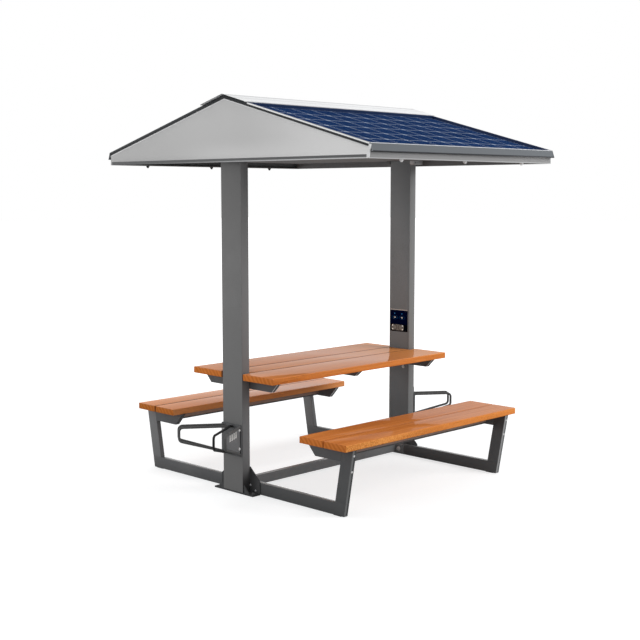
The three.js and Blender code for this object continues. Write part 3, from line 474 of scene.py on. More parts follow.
# painted light and shade: the left legs take a paler grey than the right ones
leg_left = powder_coat("coat_leg_left", (114, 115, 117), (120, 121, 122), 0.52)
leg_right = powder_coat("coat_leg_right", (84, 85, 87), (90, 91, 92), 0.52)
outer_face(leg_right)

foot_beam = frame_coat("coat_foot_beam")
x, y, z = foot_beam.axes()
# painted shade on the beam's part at negative Y
foot_beam.layer(y < -0.1, (84, 85, 86))
outer_face(foot_beam)
foot_beam.feed("Coat Weight", beam_top(z) * 0.85)

bracket = powder_coat("coat_head_bracket", (176, 177, 178), (182, 183, 184))
x, y, z = bracket.axes()
# painted shade on one half of each bracket
bracket.layer(own_side(x, y) > 0.0, (100, 101, 102))
# painted shade: the base feet take a darker grey than the frame
base_foot = powder_coat("coat_base_foot", (66, 67, 68), (72, 73, 74), 0.55)
print("coats by node:", names_of(column_near, column_far, leg_left, leg_right))

# %% [markdown]
# The seats and the table are solid planks, oiled to a warm orange brown. Grain runs
# along the plank: rings cut lengthwise give long flames, fine pores give short dark
# dashes, and each plank comes from another tree, so its colour and pattern shift.
# The planks lie along X, so the pattern is stretched that way. Their sawn ends show
# the rings themselves, and drink more oil, so they are darker.

# %% Oiled planks
TOP_SKIN = 0.0035
GAP_EDGE = 0.0045


def plank_wood(name, seed, tone, box, gaps):
    """Oiled wood for a plank in this box; gaps are the Y values of its edges beside a gap."""
    finish = Finish(name, Specular_IOR_Level=0.0, Coat_Roughness=0.04)
    flame_place = finish.stretched((0.55, 7.0, 7.0), shift=(seed * 3.7, seed * 1.3, seed * 0.9))
    wander = finish.noise(1.6, 4.0, 0.55, flame_place, 0.4)
    rings = finish.bands(flame_place, 1.3, 9.0, 1.1, 0.6)
    fibre_place = finish.stretched((3.0, 190.0, 190.0), shift=(seed, seed * 2.0, 0.0))
    fibre = finish.noise(1.0, 5.0, 0.6, fibre_place)
    pore_place = finish.stretched((12.0, 420.0, 420.0), shift=(seed * 5.0, 0.0, 0.0))
    pores = finish.noise(1.0, 2.0, 0.5, pore_place).rising(0.62, 0.72)
    fleck = finish.noise(110.0, 2.0, 0.6).rising(0.5, 0.7)
    light, middle, dark = tone
    finish.base(rings.rising(0.15, 0.85) * 0.55, light, middle)
    finish.layer(wander.rising(0.4, 0.75) * 0.6, dark)
    finish.layer(fibre.rising(0.35, 0.7) * 0.3, dimmed(middle, 0.72))
    finish.layer(pores * 0.45, dimmed(dark, 0.45))
    finish.layer(fleck * 0.35, (236, 150, 62))

    y_low = box[0][1]
    x_high, y_high, z_high = box[1]
    right_seat = y_high < -0.5
    left_seat = y_low > 0.5
    x, y, z = finish.axes()
    to_near = 0.0 - x
    on_top = z > z_high - TOP_SKIN
    # painted light on the plank tops, weaker on the right seat
    bright = [min(c * k, 250) for c, k in zip(light, (1.06, 1.06, 1.1))]
    finish.layer(on_top * (0.2 if right_seat else 0.55), bright)
    sawn_place = finish.stretched((1.0, 21.0, 21.0), turn=(math.radians(38), 0, 0),
                                  shift=(0.0, seed * 0.7, seed * 0.4))
    sawn = finish.bands(sawn_place, 0.55, 6.0, 0.8)
    # left seat: painted shade deepens its end grain, and painted light lies on its edge at low Y
    if left_seat:
        end_grain = finish.blend(sawn, (184, 110, 53), (166, 96, 44))
        finish.layer((y < y_low + 0.002) * 0.35, (250, 182, 128))
    else:
        end_grain = finish.blend(sawn, (207, 123, 60), (188, 108, 50))
    # painted light on the table's top towards its far end
    if not left_seat and not right_seat:
        finish.layer(on_top * x.rising(0.2, 0.75) * 0.3, (252, 172, 92))
    finish.layer(abs(x) > x_high - 0.0008, end_grain)
    # painted shade on the plank edges beside a gap
    for edge in gaps:
        finish.layer((abs(y - edge) < GAP_EDGE) * (0.2 if right_seat else 0.7), (112, 66, 38))
    # painted light in patches along the right seat's outer edge
    if right_seat and y_low < -0.9:
        painted_edge_light = finish.noise(160.0, 3.0, 0.6).rising(0.35, 0.65) * (y < y_low + 0.001)
        finish.layer(painted_edge_light * (to_near.rising(0.0, 0.5) * 0.6 + 0.25), (252, 176, 96))

    if right_seat:
        gloss = on_top * 0.26
    elif left_seat:
        gloss = on_top * (to_near.rising(-0.8, 0.9) * 0.5 + 0.42)
    else:
        gloss = on_top * (to_near.rising(-0.8, -0.1) * 0.15 + to_near.rising(-0.2, 0.9) * 0.5 + 0.28)
    finish.feed("Coat Weight", gloss)
    finish.feed("Roughness", rings * 0.08 + fibre * 0.16 + 0.36)
    finish.relief(fibre * 0.5 + rings * 0.3 - pores * 0.6, 0.0006, 0.35)
    return finish


tones = [
    ((228, 142, 76), (208, 118, 54), (180, 94, 38)),
    ((225, 139, 74), (205, 115, 52), (177, 92, 37)),
    ((230, 145, 78), (210, 121, 56), (182, 96, 39)),
]
plank_nodes = sorted(name for name in nodes if "plank" in name)
plank_finishes = {}
for number, name in enumerate(plank_nodes):
    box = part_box(name)
    others = [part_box(other) for other in plank_nodes if other != name and other[:4] == name[:4]]
    facing_edges = [other[k][1] for other in others for k in (0, 1)]
    own_edges = (box[0][1], box[1][1])
    gaps = [edge for edge in own_edges if any(0.0 < abs(edge - other) < 0.02 for other in facing_edges)]
    tone = tones[number % len(tones)]
    plank_finishes[name] = plank_wood(f"wood_{name}", number + 1.0, tone, box, gaps)
print("planks:", ", ".join(plank_nodes))

# %% [markdown]
# Each solar module is an anodised frame around a laminate. The aluminium is drawn
# along its length and anodised black. The laminate is glass over blue cells, with a
# paler back sheet that shows in the thin gaps between them.

# %% Anodised aluminium and glazing
MODULE_END = 0.8505
RIDGE_SIDE = 0.1985
EAVE_SIDE = 1.1555

drawn = Finish("anodised_black", Metallic=0.3)
streaks = drawn.noise(1.0, 3.0, 0.6, drawn.stretched((4.0, 300.0, 300.0)))
x, y, z = drawn.axes()
drawn.base(streaks, (40, 42, 45), (52, 54, 57))
# the lip is navy, and stays black along the ridge side as painted shade under the cap
inner_lip = (abs(x) < MODULE_END) * (abs(y) > RIDGE_SIDE)
drawn.layer(inner_lip, drawn.blend(streaks, (20, 42, 80), (28, 52, 94)))
# painted highlight on the frame's low corner at the near end
low_end = (x < -MODULE_END) * (abs(y) > EAVE_SIDE)
drawn.layer(low_end, (246, 246, 246))
drawn.feed("Roughness", streaks * 0.15 + 0.4)
drawn.relief(streaks, 0.0002, 0.2)

backing = Finish("laminate_backing", Specular_IOR_Level=0.15)
clouds = backing.noise(6.0)
backing.base(clouds, (176, 188, 210), (160, 174, 200))
backing.feed("Roughness", clouds * 0.1 + 0.45)

silicon = Finish("solar_cell", Specular_IOR_Level=0.0)
crystal = silicon.add("TexVoronoi", {"Vector": silicon.place, "Scale": 85.0})
grain = silicon.axes(crystal["Color"])[0]
silicon.base(grain, (22, 45, 84), (32, 58, 101))
silicon.layer(silicon.noise(2.2, 3.0).rising(0.3, 0.75) * 0.5, (19, 39, 76))
silicon.feed("Roughness", grain * 0.12 + 0.42)

ribbon = Finish("cell_ribbon", Metallic=0.3)
clouds = ribbon.noise(60.0)
ribbon.base(clouds, (104, 118, 148), (84, 100, 134))
ribbon.feed("Roughness", clouds * 0.2 + 0.4)
print("module finishes:", names_of(drawn, backing, silicon, ribbon))

# %% [markdown]
# Rubber pads, moulded housings, a circuit board, cables and plated screws are small or
# hidden. One recipe serves them: a fine grain, and a slightly deeper tone in patches.


# %% Small finishes
def moulded(name, colour, roughness, grain_scale=700.0, metal=0.0):
    finish = Finish(name, Metallic=metal)
    grain = finish.noise(grain_scale, 2.0, 0.5)
    finish.base(finish.noise(8.0, 4.0), colour, dimmed(colour, 0.82))
    finish.feed("Roughness", grain * 0.16 + (roughness - 0.08))
    finish.relief(grain, 0.0002, 0.3)
    return finish


rubber = moulded("foot_rubber", (36, 36, 37), 0.85)
housing = moulded("moulded_housing", (46, 47, 50), 0.6)
board_lacquer = moulded("board_lacquer", (28, 74, 46), 0.4)
jacket = moulded("cable_jacket", (24, 24, 25), 0.6)
case_metal = moulded("controller_case", (172, 174, 178), 0.4, 300.0, 0.8)
socket_metal = moulded("socket_metal", (232, 230, 226), 0.34, 500.0, 0.3)
cover_metal = moulded("cover_metal", (128, 122, 116), 0.5, 500.0, 0.2)
zinc = moulded("zinc_plated", (206, 206, 208), 0.38, 800.0, 0.4)
# painted highlight: the same zinc, painted brighter
painted_lit_zinc = moulded("zinc_painted_lit", (250, 250, 250), 0.38, 800.0, 0.4)
tongue_plastic = moulded("usb_tongue", (252, 252, 254), 0.5)
print("moulded and plated finishes ready")

# %% [markdown]
# The charging panel is navy glass above and black below, with a paler ring round each
# port and two lit lenses. Below the ports sits a socket plate of brushed dark steel,
# with two round openings and a bright screw at each corner.

# %% Charging panel's faces
PORT_YS = (0.037, -0.029)
PORT_Z = 0.969
ROUND_YS = (0.036, -0.018)
ROUND_Z = 0.898

glow = Finish("led_lens", Roughness=0.25, Emission_Strength=1.0)
glow_ring = glow.noise(300.0)
glow.base(glow_ring, (20, 70, 120), (30, 90, 150))
glow.feed("Emission Color", glow.blend(glow_ring, (14, 74, 116), (24, 92, 140)))

panel_face = Finish("panel_face", Specular_IOR_Level=0.0)
x, y, z = panel_face.axes()
clouds = panel_face.noise(30.0)
panel_face.base(clouds, (1, 5, 34), (2, 9, 44))
for port_y in PORT_YS:
    from_port = abs((y - port_y) / 0.026).power(2.0) + abs((z - PORT_Z) / 0.013).power(2.0)
    panel_face.layer(abs(from_port - 1.0) < 0.22, (8, 46, 84))
panel_face.layer(z < 0.921, (4, 5, 12))
panel_face.feed("Roughness", clouds * 0.1 + 0.4)

socket_plate = Finish("socket_plate", Metallic=0.2, Specular_IOR_Level=0.3)
x, y, z = socket_plate.axes()
brushing = socket_plate.noise(1.0, 3.0, 0.6, socket_plate.stretched((300.0, 20.0, 400.0)))
socket_plate.base(brushing, (124, 118, 112), (104, 98, 94))
for round_y in ROUND_YS:
    from_round = ((y - round_y).power(2.0) + (z - ROUND_Z).power(2.0)).power(0.5)
    socket_plate.layer(abs(from_round - 0.0195) < 0.0016, (46, 44, 42))
from_screw = abs(abs(y - 0.009) - 0.045).power(2.0) + abs(abs(z - 0.8985) - 0.0125).power(2.0)
socket_plate.layer(from_screw < 0.0055 * 0.0055, (250, 247, 240))
socket_plate.feed("Roughness", brushing * 0.2 + 0.3)
print("panel faces:", names_of(glow, panel_face, socket_plate))

# %% [markdown]
# Every solid takes the finish of what it is made of. A table of the record's
# material slots does that in one pass. Planks and roof sheets then get their own.

# %% Finishes onto the solids
by_slot = {
    "dark_metal": dark_coat, "roof_trim": trim_coat, "light_metal": panel_coat,
    "white_metal": cap_coat, "module_frame": drawn, "solar_glass": backing,
    "foot_rubber": rubber, "panel_face": panel_face, "housing": housing,
    "circuit_board": board_lacquer, "socket_steel": socket_metal,
    "controller_case": case_metal, "cable_jacket": jacket,
}
by_kind = {
    "gable": gable, "verge": verge, "eave": eave, "roof_tray": tray, "ridge_cap": ridge_cap,
    "table_arm": table_arm, "table_batten": batten, "seat_arm": seat_arm, "seat_rail": rail,
    "column_near": column_near, "column_far": column_far, "head_bracket": bracket,
    "leg_near_left": leg_left, "leg_far_left": leg_left, "leg_near_right": leg_right,
    "leg_far_right": leg_right, "base_foot": base_foot, "foot_beam": foot_beam,
    "floor_beam": beam, "bike_plate": rack, "socket_plate": socket_plate,
}
slot_of = {part["node"]: part["material_slot"] for part in frame["record"]["subparts"]}


def finish_of(name):
    if name in plank_finishes:
        return plank_finishes[name]
    for kind, finish in by_kind.items():
        if name.startswith(kind):
            return finish
    return by_slot[slot_of[name]]


for name, solid in nodes.items():
    solid.data.materials.clear()
    solid.data.materials.append(finish_of(name).material)
print("dressed:", len(nodes), "solids")

# %% [markdown]
# A welded tube has soft corners, a plank has eased edges, and light catches on them.
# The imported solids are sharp, so a copy of each is merged, bevelled and shown instead
# of it. The bevel takes material away, so no copy is larger than its solid.

# %% Softened copies
SHARP = math.radians(30.0)
FLAT = math.radians(0.5)


def linked(name, data):
    """An object with this data, in the scene."""
    thing = bpy.data.objects.new(name, data)
    bpy.context.scene.collection.objects.link(thing)
    return thing


def as_mesh(name, body):
    """The mesh of a bmesh, which is then freed."""
    mesh = bpy.data.meshes.new(name)
    body.to_mesh(mesh)
    body.free()
    return mesh


def to_object(name, mesh, finish):
    piece = linked(name, mesh)
    mesh.materials.clear()
    mesh.materials.append(finish.material)
    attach(piece, "root")
    return piece


def baked(holder):
    """The evaluated mesh of an object, which is then removed."""
    graph = bpy.context.evaluated_depsgraph_get()
    graph.update()
    mesh = bpy.data.meshes.new_from_object(holder.evaluated_get(graph))
    bpy.data.objects.remove(holder)
    return mesh


def softened(name, width):
    merged = bmesh.new()
    merged.from_mesh(nodes[name].data)
    bmesh.ops.remove_doubles(merged, verts=merged.verts, dist=1e-5)
    bmesh.ops.dissolve_limit(merged, angle_limit=FLAT, verts=merged.verts, edges=merged.edges)
    for face in merged.faces:
        face.smooth = True
    holder = linked(name + "_holder", as_mesh(name, merged))
    bevel = holder.modifiers.new("bevel", "BEVEL")
    bevel.width = width
    bevel.segments = 2
    bevel.limit_method = "ANGLE"
    bevel.angle_limit = SHARP
    bevel.harden_normals = True
    piece = to_object("soft_" + name, baked(holder), finish_of(name))
    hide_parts(name)


soft_widths = {
    0.0025: ("column", "foot_beam"),
    0.002: ("leg", "seat_arm", "seat_rail", "table_arm", "table_batten"),
    0.0015: ("floor_beam", "base_foot", "seat_plank", "table_plank"),
    0.001: ("head_bracket", "foot_pad", "bike_plate"),
    0.0008: ("gable", "ridge_cap", "charge_plate"),
    0.004: ("battery",),
    0.003: ("charge_controller",),
}
soft_count = 0
for name in list(nodes):
    for width, kinds in soft_widths.items():
        if name.startswith(kinds):
            softened(name, width)
            soft_count += 1
print("softened:", soft_count, "copies")

# %% [markdown]
# What repeats comes from Geometry Nodes. The first tree sets one unit out in rows and
# columns. It lays the cells of a solar module, and the thin ribbons that join them.
# Every tree ends alike: its instances become real, and take the finish it is given.


# %% A tree that fills a field
def new_tree(name, sockets):
    tree = bpy.data.node_groups.new(name, "GeometryNodeTree")
    tree.interface.new_socket("Geometry", in_out="INPUT", socket_type="NodeSocketGeometry")
    tree.interface.new_socket("Geometry", in_out="OUTPUT", socket_type="NodeSocketGeometry")
    for label, kind in sockets.items():
        tree.interface.new_socket(label, in_out="INPUT", socket_type="NodeSocket" + kind)
    return tree, tree.nodes.new("NodeGroupInput").outputs, tree.nodes.new("NodeGroupOutput").inputs


def end_tree(tree, given, made, geometry):
    real = add_node(tree, "GeometryNodeRealizeInstances", {"Geometry": geometry})
    coated = add_node(tree, "GeometryNodeSetMaterial", {
        "Geometry": real[0], "Material": given["Finish"]})
    tree.links.new(coated[0], made["Geometry"])
    print("tree:", tree.name, "with", len(tree.nodes), "nodes")


def grown(name, tree, base, values):
    """The mesh that a tree makes on a base mesh with these input values."""
    holder = linked(name + "_holder", base)
    modifier = holder.modifiers.new("nodes", "NODES")
    modifier.node_group = tree
    for item in tree.interface.items_tree:
        if item.in_out == "INPUT" and item.name in values:
            modifier[item.identifier] = values[item.name]
    return baked(holder)


field_sockets = {"Unit": "Object", "Columns": "Int", "Rows": "Int", "Pitch X": "Float",
                 "Pitch Y": "Float", "Finish": "Material"}
field_tree, given, made = new_tree("unit_field", field_sockets)
spans = {}
for axis, count in (("X", "Columns"), ("Y", "Rows")):
    steps = add_node(field_tree, "ShaderNodeMath", {0: given[count], 1: 1.0}, operation="SUBTRACT")
    factors = {0: steps[0], 1: given["Pitch " + axis]}
    spans[axis] = add_node(field_tree, "ShaderNodeMath", factors, operation="MULTIPLY")[0]
lattice = add_node(field_tree, "GeometryNodeMeshGrid", {
    "Size X": spans["X"], "Size Y": spans["Y"],
    "Vertices X": given["Columns"], "Vertices Y": given["Rows"]})
unit = add_node(field_tree, "GeometryNodeObjectInfo", {"Object": given["Unit"]})
units_set = add_node(field_tree, "GeometryNodeInstanceOnPoints", {
    "Points": lattice["Mesh"], "Instance": unit["Geometry"]})
end_tree(field_tree, given, made, units_set[0])

# %% [markdown]
# A cell is a thin square wafer with its corners cut off, because wafers are sliced
# from a round crystal. Three ribbons cross each column of cells. The field is laid
# out flat first, and then moved onto each slope of the roof.

# %% Cells and ribbons
GLASS_DEPTH = 0.018
CELLS_X = 10
CELLS_RUN = 6
FIELD_HALF_X = 0.838
FIELD_START = 0.222
FIELD_END = 1.173
CELL_GAP = 0.0035
CELL_CUT = 0.009
RIBBON_HALF = 0.0007


def prism(name, outline, z0, z1):
    """A closed slab from an outline, counter-clockwise from above."""
    slab = bmesh.new()
    low = [slab.verts.new((x, y, z0)) for x, y in outline]
    high = [slab.verts.new((x, y, z1)) for x, y in outline]
    slab.faces.new(high)
    slab.faces.new(low[::-1])
    for k in range(len(outline)):
        n = (k + 1) % len(outline)
        slab.faces.new((low[k], low[n], high[n], high[k]))
    return as_mesh(name, slab)


def onto_slope(mesh, side):
    """Lays a flat field on the left (1) or right (-1) glass."""
    along = (FIELD_START + FIELD_END) / 2
    centre_y = along * math.cos(PITCH) - GLASS_DEPTH * math.sin(PITCH)
    centre_z = RIDGE_Z - along * math.sin(PITCH) - GLASS_DEPTH * math.cos(PITCH)
    lay = Matrix.Translation((0, centre_y, centre_z + 0.0001)) @ Matrix.Rotation(-PITCH, 4, "X")
    if side < 0:
        lay = Matrix.Rotation(math.pi, 4, "Z") @ lay
    mesh.transform(lay)
    return mesh


pitch_x = 2 * FIELD_HALF_X / CELLS_X
pitch_run = (FIELD_END - FIELD_START) / CELLS_RUN
cell_x = pitch_x / 2 - CELL_GAP
cell_run = pitch_run / 2 - CELL_GAP
cut_x = cell_x - CELL_CUT
cut_run = cell_run - CELL_CUT
cell_outline = [(-cut_x, -cell_run), (cut_x, -cell_run), (cell_x, -cut_run), (cell_x, cut_run),
                (cut_x, cell_run), (-cut_x, cell_run), (-cell_x, cut_run), (-cell_x, -cut_run)]
cell_unit = linked("cell_unit", prism("cell_unit", cell_outline, 0.0, 0.0003))
end_y = (FIELD_END - FIELD_START) / 2 - 0.004
ribbon_outline = [(a * RIBBON_HALF, b * end_y) for a, b in ((-1, -1), (1, -1), (1, 1), (-1, 1))]
ribbon_unit = linked("ribbon_unit", prism("ribbon_unit", ribbon_outline, 0.0003, 0.0004))

cell_values = {"Unit": cell_unit, "Columns": CELLS_X, "Rows": CELLS_RUN, "Pitch X": pitch_x,
               "Pitch Y": pitch_run, "Finish": silicon.material}
ribbon_values = {"Unit": ribbon_unit, "Columns": CELLS_X * 3, "Rows": 2, "Pitch X": pitch_x / 3,
                 "Pitch Y": 0.00001, "Finish": ribbon.material}
for label, side in (("left", 1), ("right", -1)):
    for kind, values, finish in (("cells", cell_values, silicon), ("ribbons", ribbon_values, ribbon)):
        name = f"{kind}_{label}"
        flat = grown(name, field_tree, bpy.data.meshes.new("seed"), values)
        to_object(name, onto_slope(flat, side), finish)
bpy.data.objects.remove(cell_unit)
bpy.data.objects.remove(ribbon_unit)
print("cells:", CELLS_X * CELLS_RUN, "on each side")

# %% [markdown]
# The second tree sets fasteners. Its base mesh is a cloud of points, each with a
# facing: the tree turns the unit so that it stands on that facing. Heads are turned
# profiles, so one small function makes washers, hexagons and domes.


# %% A tree that sets fasteners
def turned(name, shells):
    """A mesh of closed solids of revolution: each shell is (steps, [(radius, height), ...])."""
    body = bmesh.new()
    for steps, profile in shells:
        angles = [2 * math.pi * k / steps for k in range(steps)]
        rings = []
        for radius, height in profile:
            if radius == 0:
                rings.append([body.verts.new((0, 0, height))])
                continue
            circle = [(radius * math.cos(angle), radius * math.sin(angle), height) for angle in angles]
            rings.append([body.verts.new(place) for place in circle])
        for lower, upper in zip(rings, rings[1:]):
            for k in range(steps):
                n = (k + 1) % steps
                corners = [lower[k % len(lower)], lower[n % len(lower)]]
                corners += [upper[n % len(upper)], upper[k % len(upper)]]
                body.faces.new(list(dict.fromkeys(corners)))
    bmesh.ops.recalc_face_normals(body, faces=body.faces)
    return as_mesh(name, body)


def dome(radius, height, base=0.0):
    profile = [(0, base), (radius, base)]
    for k in range(1, 4):
        angle = math.pi / 2 * k / 4
        profile.append((radius * math.cos(angle), base + height * (0.3 + 0.7 * math.sin(angle))))
    profile.append((0, base + height))
    return profile


def hexagon(radius, height, base=0.0):
    shoulder = (radius, base + height * 0.82)
    return [(0, base), (radius, base), shoulder, (radius * 0.88, base + height), (0, base + height)]


def washer(radius, thickness):
    shoulder = (radius, thickness * 0.7)
    return [(0, 0), (radius, 0), shoulder, (radius - thickness * 0.3, thickness), (0, thickness)]


bolt_tree, given, made = new_tree("set_bolts", {"Unit": "Object", "Size": "Float", "Finish": "Material"})
facing = add_node(bolt_tree, "GeometryNodeInputNamedAttribute", {"Name": "facing"},
                  data_type="FLOAT_VECTOR")
stand_up = add_node(bolt_tree, "FunctionNodeAlignRotationToVector", {"Vector": facing[0]}, axis="Z")
unit = add_node(bolt_tree, "GeometryNodeObjectInfo", {"Object": given["Unit"]})
bolts_set = add_node(bolt_tree, "GeometryNodeInstanceOnPoints", {
    "Points": given["Geometry"], "Instance": unit["Geometry"],
    "Rotation": stand_up[0], "Scale": given["Size"]})
end_tree(bolt_tree, given, made, bolts_set[0])


def both_ends(places):
    """Adds the same places turned half round, for the other end."""
    return places + [((-x, -y, z), (-a, -b, c)) for (x, y, z), (a, b, c) in places]


def both_sides(places):
    """Adds the mirrored places across the ridge's plane."""
    return places + [((x, -y, z), (a, -b, c)) for (x, y, z), (a, b, c) in places]


def set_fasteners(name, unit_mesh, places, finish, size=1.0):
    """Sets a unit on each place, which is ((x, y, z), facing)."""
    cloud = bpy.data.meshes.new(name)
    cloud.from_pydata([place for place, way in places], [], [])
    facings = cloud.attributes.new("facing", "FLOAT_VECTOR", "POINT")
    for entry, (place, way) in zip(facings.data, places):
        entry.vector = way
    unit = linked(name + "_unit", unit_mesh)
    values = {"Unit": unit, "Size": size, "Finish": finish.material}
    mesh = grown(name, bolt_tree, cloud, values)
    bpy.data.objects.remove(unit)
    to_object(name, mesh, finish)


# %% [markdown]
# Bolts hold the gussets, anchors and arms of the frame, and screws close its legs.
# Both ends have them, so a place is written once, and then mirrored or turned.

# %% Fasteners of the frame
LEAN = math.radians(9.9)

hex_head = turned("hex_head", [(24, washer(0.015, 0.0025)), (6, hexagon(0.0115, 0.008, 0.0025))])
cap_head = turned("cap_head", [(20, washer(0.011, 0.0018)), (20, dome(0.0085, 0.0055, 0.0018))])
small_head = turned("small_head", [(16, dome(0.0065, 0.003))])
hanging_bolt = turned("hanging_bolt", [
    (6, hexagon(0.0125, 0.008)),
    (16, [(0, 0), (0.0075, 0), (0.0075, 0.014), (0.006, 0.016), (0, 0.016)]),
])
gusset_places = [((-0.752, y, z), (-1, 0, 0)) for y, z in ((0.092, 0.052), (0.139, 0.022))]
gusset_places = both_ends(both_sides(gusset_places))
set_fasteners("gusset_bolts", cap_head, gusset_places, zinc, 0.75)
anchor_places = both_ends(both_sides([((-0.7825, 0.153, 0.010), (0, 0, 1))]))
set_fasteners("anchor_bolts", hex_head, anchor_places, dark_coat, 0.8)
arm_places = both_ends([((-0.752, 0.041, 0.6234), (1, 0, 0))])
set_fasteners("arm_bolts", cap_head, arm_places, socket_metal, 1.1)
leg_places = []
for height in (0.270, 0.365):
    outer = 0.881 + (height - 0.0025) * math.tan(LEAN)
    leg_places.append(((-FRAME_X, outer, height), (0, math.cos(LEAN), -math.sin(LEAN))))
leg_places = both_ends(both_sides(leg_places))
set_fasteners("leg_screws", small_head, leg_places, painted_lit_zinc, 1.1)
print("frame fasteners set")

# %% [markdown]
# A small white trim closes the eave's corner at the right-hand side of each end. It is
# a slab drawn flat in Y and Z, and then stood up across X.

# %% Corner trims
TRIM_X = -0.8665


def upright(mesh, x, y=0.0, z=0.0):
    """Stands a slab up, so that its outline lies in Y and Z and its height along X."""
    mesh.transform(Matrix(((0, 0, 1, x), (1, 0, 0, y), (0, 1, 0, z), (0, 0, 0, 1))))
    return mesh


trim_outline = [(-1.1816, 2.1005), (-1.1671, 2.0284), (-1.1557, 2.0297), (-1.1688, 2.1024)]
for label, turn in (("near", 0.0), ("far", math.pi)):
    trim = upright(prism("corner_trim", trim_outline, 0.0, 0.0075), TRIM_X)
    trim.transform(Matrix.Rotation(turn, 4, "Z"))
    to_object(f"corner_trim_{label}", trim, cap_coat)
print("corner trims at x", TRIM_X, "and", -TRIM_X)

# %% [markdown]
# Bolts also hold the wheel rack and the head brackets, and long ones hang below the
# eaves. These bolts are alike, with painted shade in the trim's dark coat below the left
# eave and a painted highlight below the right one.

# %% Bolts of rack and roof
rack_places = [((-RACK_X, 0.078, 0.396), (-1, 0, 0))]
rack_places += [((-0.8352, -0.0857, z), (0.5, -0.866, 0)) for z in (0.288, 0.404)]
set_fasteners("rack_bolts", cap_head, both_ends(rack_places), painted_lit_zinc, 0.95)
# the same bolts: painted shade below the left eave, painted highlight below the right
eave_looks = (("left", 1, trim_coat, "roof_trim"), ("right", -1, painted_lit_zinc, "socket_steel"))
for label, side, finish, slot in eave_looks:
    eave_places = [((x, side * 1.140, 2.0275), (0, 0, -1)) for x in (-0.568, 0.0, 0.568)]
    set_fasteners(f"eave_bolts_{label}", hanging_bolt, eave_places, finish, 0.95)
bracket_places = both_ends(both_sides([((-0.777, 0.095, 2.051), (0, 1, 0))]))
set_fasteners("bracket_bolts", cap_head, bracket_places, zinc)
print("rack and roof bolts set")

# %% [markdown]
# Each wheel holder has four hoops of bent steel rod, welded to a wall plate. The third
# tree follows a line of corners: it rounds the bends to one radius and sweeps a circle
# along them. A small bead of weld closes each end of a rod.

# %% Bent rods
WALL_X = 0.812
WALL_PLATE = 0.008
PLATE_HALF = (0.0905, 0.099)
PLATE_MIDDLE = (0.0055, 0.333)
ROD = 0.0075
ROD_TOP = 0.426 - ROD
END_LOW = 0.327 + ROD
ROOT_LOW = 0.240 + ROD
ROD_ROOT = 0.005
BEAD_RUN = 0.008

rod_tree, given, made = new_tree("bent_rods", {
    "Bend radius": "Float", "Rod radius": "Float", "Finish": "Material"})
lines = add_node(rod_tree, "GeometryNodeMeshToCurve", {"Mesh": given["Geometry"]})
bent = add_node(rod_tree, "GeometryNodeFilletCurve", {
    "Curve": lines[0], "Radius": given["Bend radius"], "Count": 7}, mode="POLY")
ring = add_node(rod_tree, "GeometryNodeCurvePrimitiveCircle", {
    "Resolution": 16, "Radius": given["Rod radius"]})
sweep = add_node(rod_tree, "GeometryNodeCurveToMesh", {
    "Curve": bent[0], "Profile Curve": ring[0], "Fill Caps": True})
smooth = add_node(rod_tree, "GeometryNodeSetShadeSmooth", {"Geometry": sweep[0]})
end_tree(rod_tree, given, made, smooth[0])


def beside(hoop, across, along):
    """A hoop is (reach, side, turn); this one stands beside another."""
    out, side, turn = hoop
    return (out - across * math.sin(turn) + along * math.cos(turn),
            side + across * math.cos(turn) + along * math.sin(turn), turn)


def hoop_place(hoop, run, z):
    out, side, turn = hoop
    return (WALL_X + run, -(side - (out - run) * math.tan(turn)), z)


def hoop_corners(hoop):
    end = hoop[0] - ROD * math.cos(hoop[2])
    return [hoop_place(hoop, ROD_ROOT, ROD_TOP), hoop_place(hoop, end, ROD_TOP),
            hoop_place(hoop, end, END_LOW), hoop_place(hoop, ROD_ROOT, ROOT_LOW)]


def rounded(half, middle, radius):
    """The outline of a rectangle with round corners, counter-clockwise."""
    outline = []
    for a, b, start in ((1, -1, 270), (1, 1, 0), (-1, 1, 90), (-1, -1, 180)):
        for k in range(5):
            angle = math.radians(start + 22.5 * k)
            outline.append((middle[0] + a * (half[0] - radius) + radius * math.cos(angle),
                            middle[1] + b * (half[1] - radius) + radius * math.sin(angle)))
    return outline


# %% [markdown]
# One holder is the other turned half round, so the far one is written down, and the
# near one takes its places with both signs changed.

# %% Wheel holders
hoop_a = (0.283, 0.184, math.radians(36))
hoop_b = (0.293, -0.160, math.radians(-30))
hoops = [hoop_a, beside(hoop_a, 0.068, 0.0), hoop_b, beside(hoop_b, -0.068, -0.016)]
rod_values = {"Bend radius": 0.024, "Rod radius": ROD, "Finish": rod_coat.material}
beads = []
for label, end in (("far", 1), ("near", -1)):
    corners = []
    edges = []
    for hoop in hoops:
        start = len(corners)
        corners += [(end * x, end * y, z) for x, y, z in hoop_corners(hoop)]
        edges += [(start + k, start + k + 1) for k in range(3)]
        for height in (ROD_TOP, ROOT_LOW):
            x, y, z = hoop_place(hoop, BEAD_RUN, height)
            beads.append(((end * x, end * y, z), (end, 0, 0)))
    base = bpy.data.meshes.new("hoop_lines")
    base.from_pydata(corners, edges, [])
    name = f"bent_rods_{label}"
    rods = to_object(name, grown(name, rod_tree, base, rod_values), rod_coat)
    plate = prism("rack_plate", rounded(PLATE_HALF, (0.0, 0.0), 0.008), 0.0, WALL_PLATE)
    plate_x = WALL_X if end > 0 else -WALL_X - WALL_PLATE
    upright(plate, plate_x, -end * PLATE_MIDDLE[0], PLATE_MIDDLE[1])
    to_object(f"rack_plate_{label}", plate, dark_coat)
    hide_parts(f"bike_holder_{label}")
bead_profile = [(0, 0), (0.0105, 0), (0.0098, 0.0022), (0.0075, 0.0040), (0, 0.0042)]
set_fasteners("weld_beads", turned("weld_bead", [(16, bead_profile)]), beads, dark_coat)
print("hoops:", 2 * len(hoops), "weld beads:", len(beads))

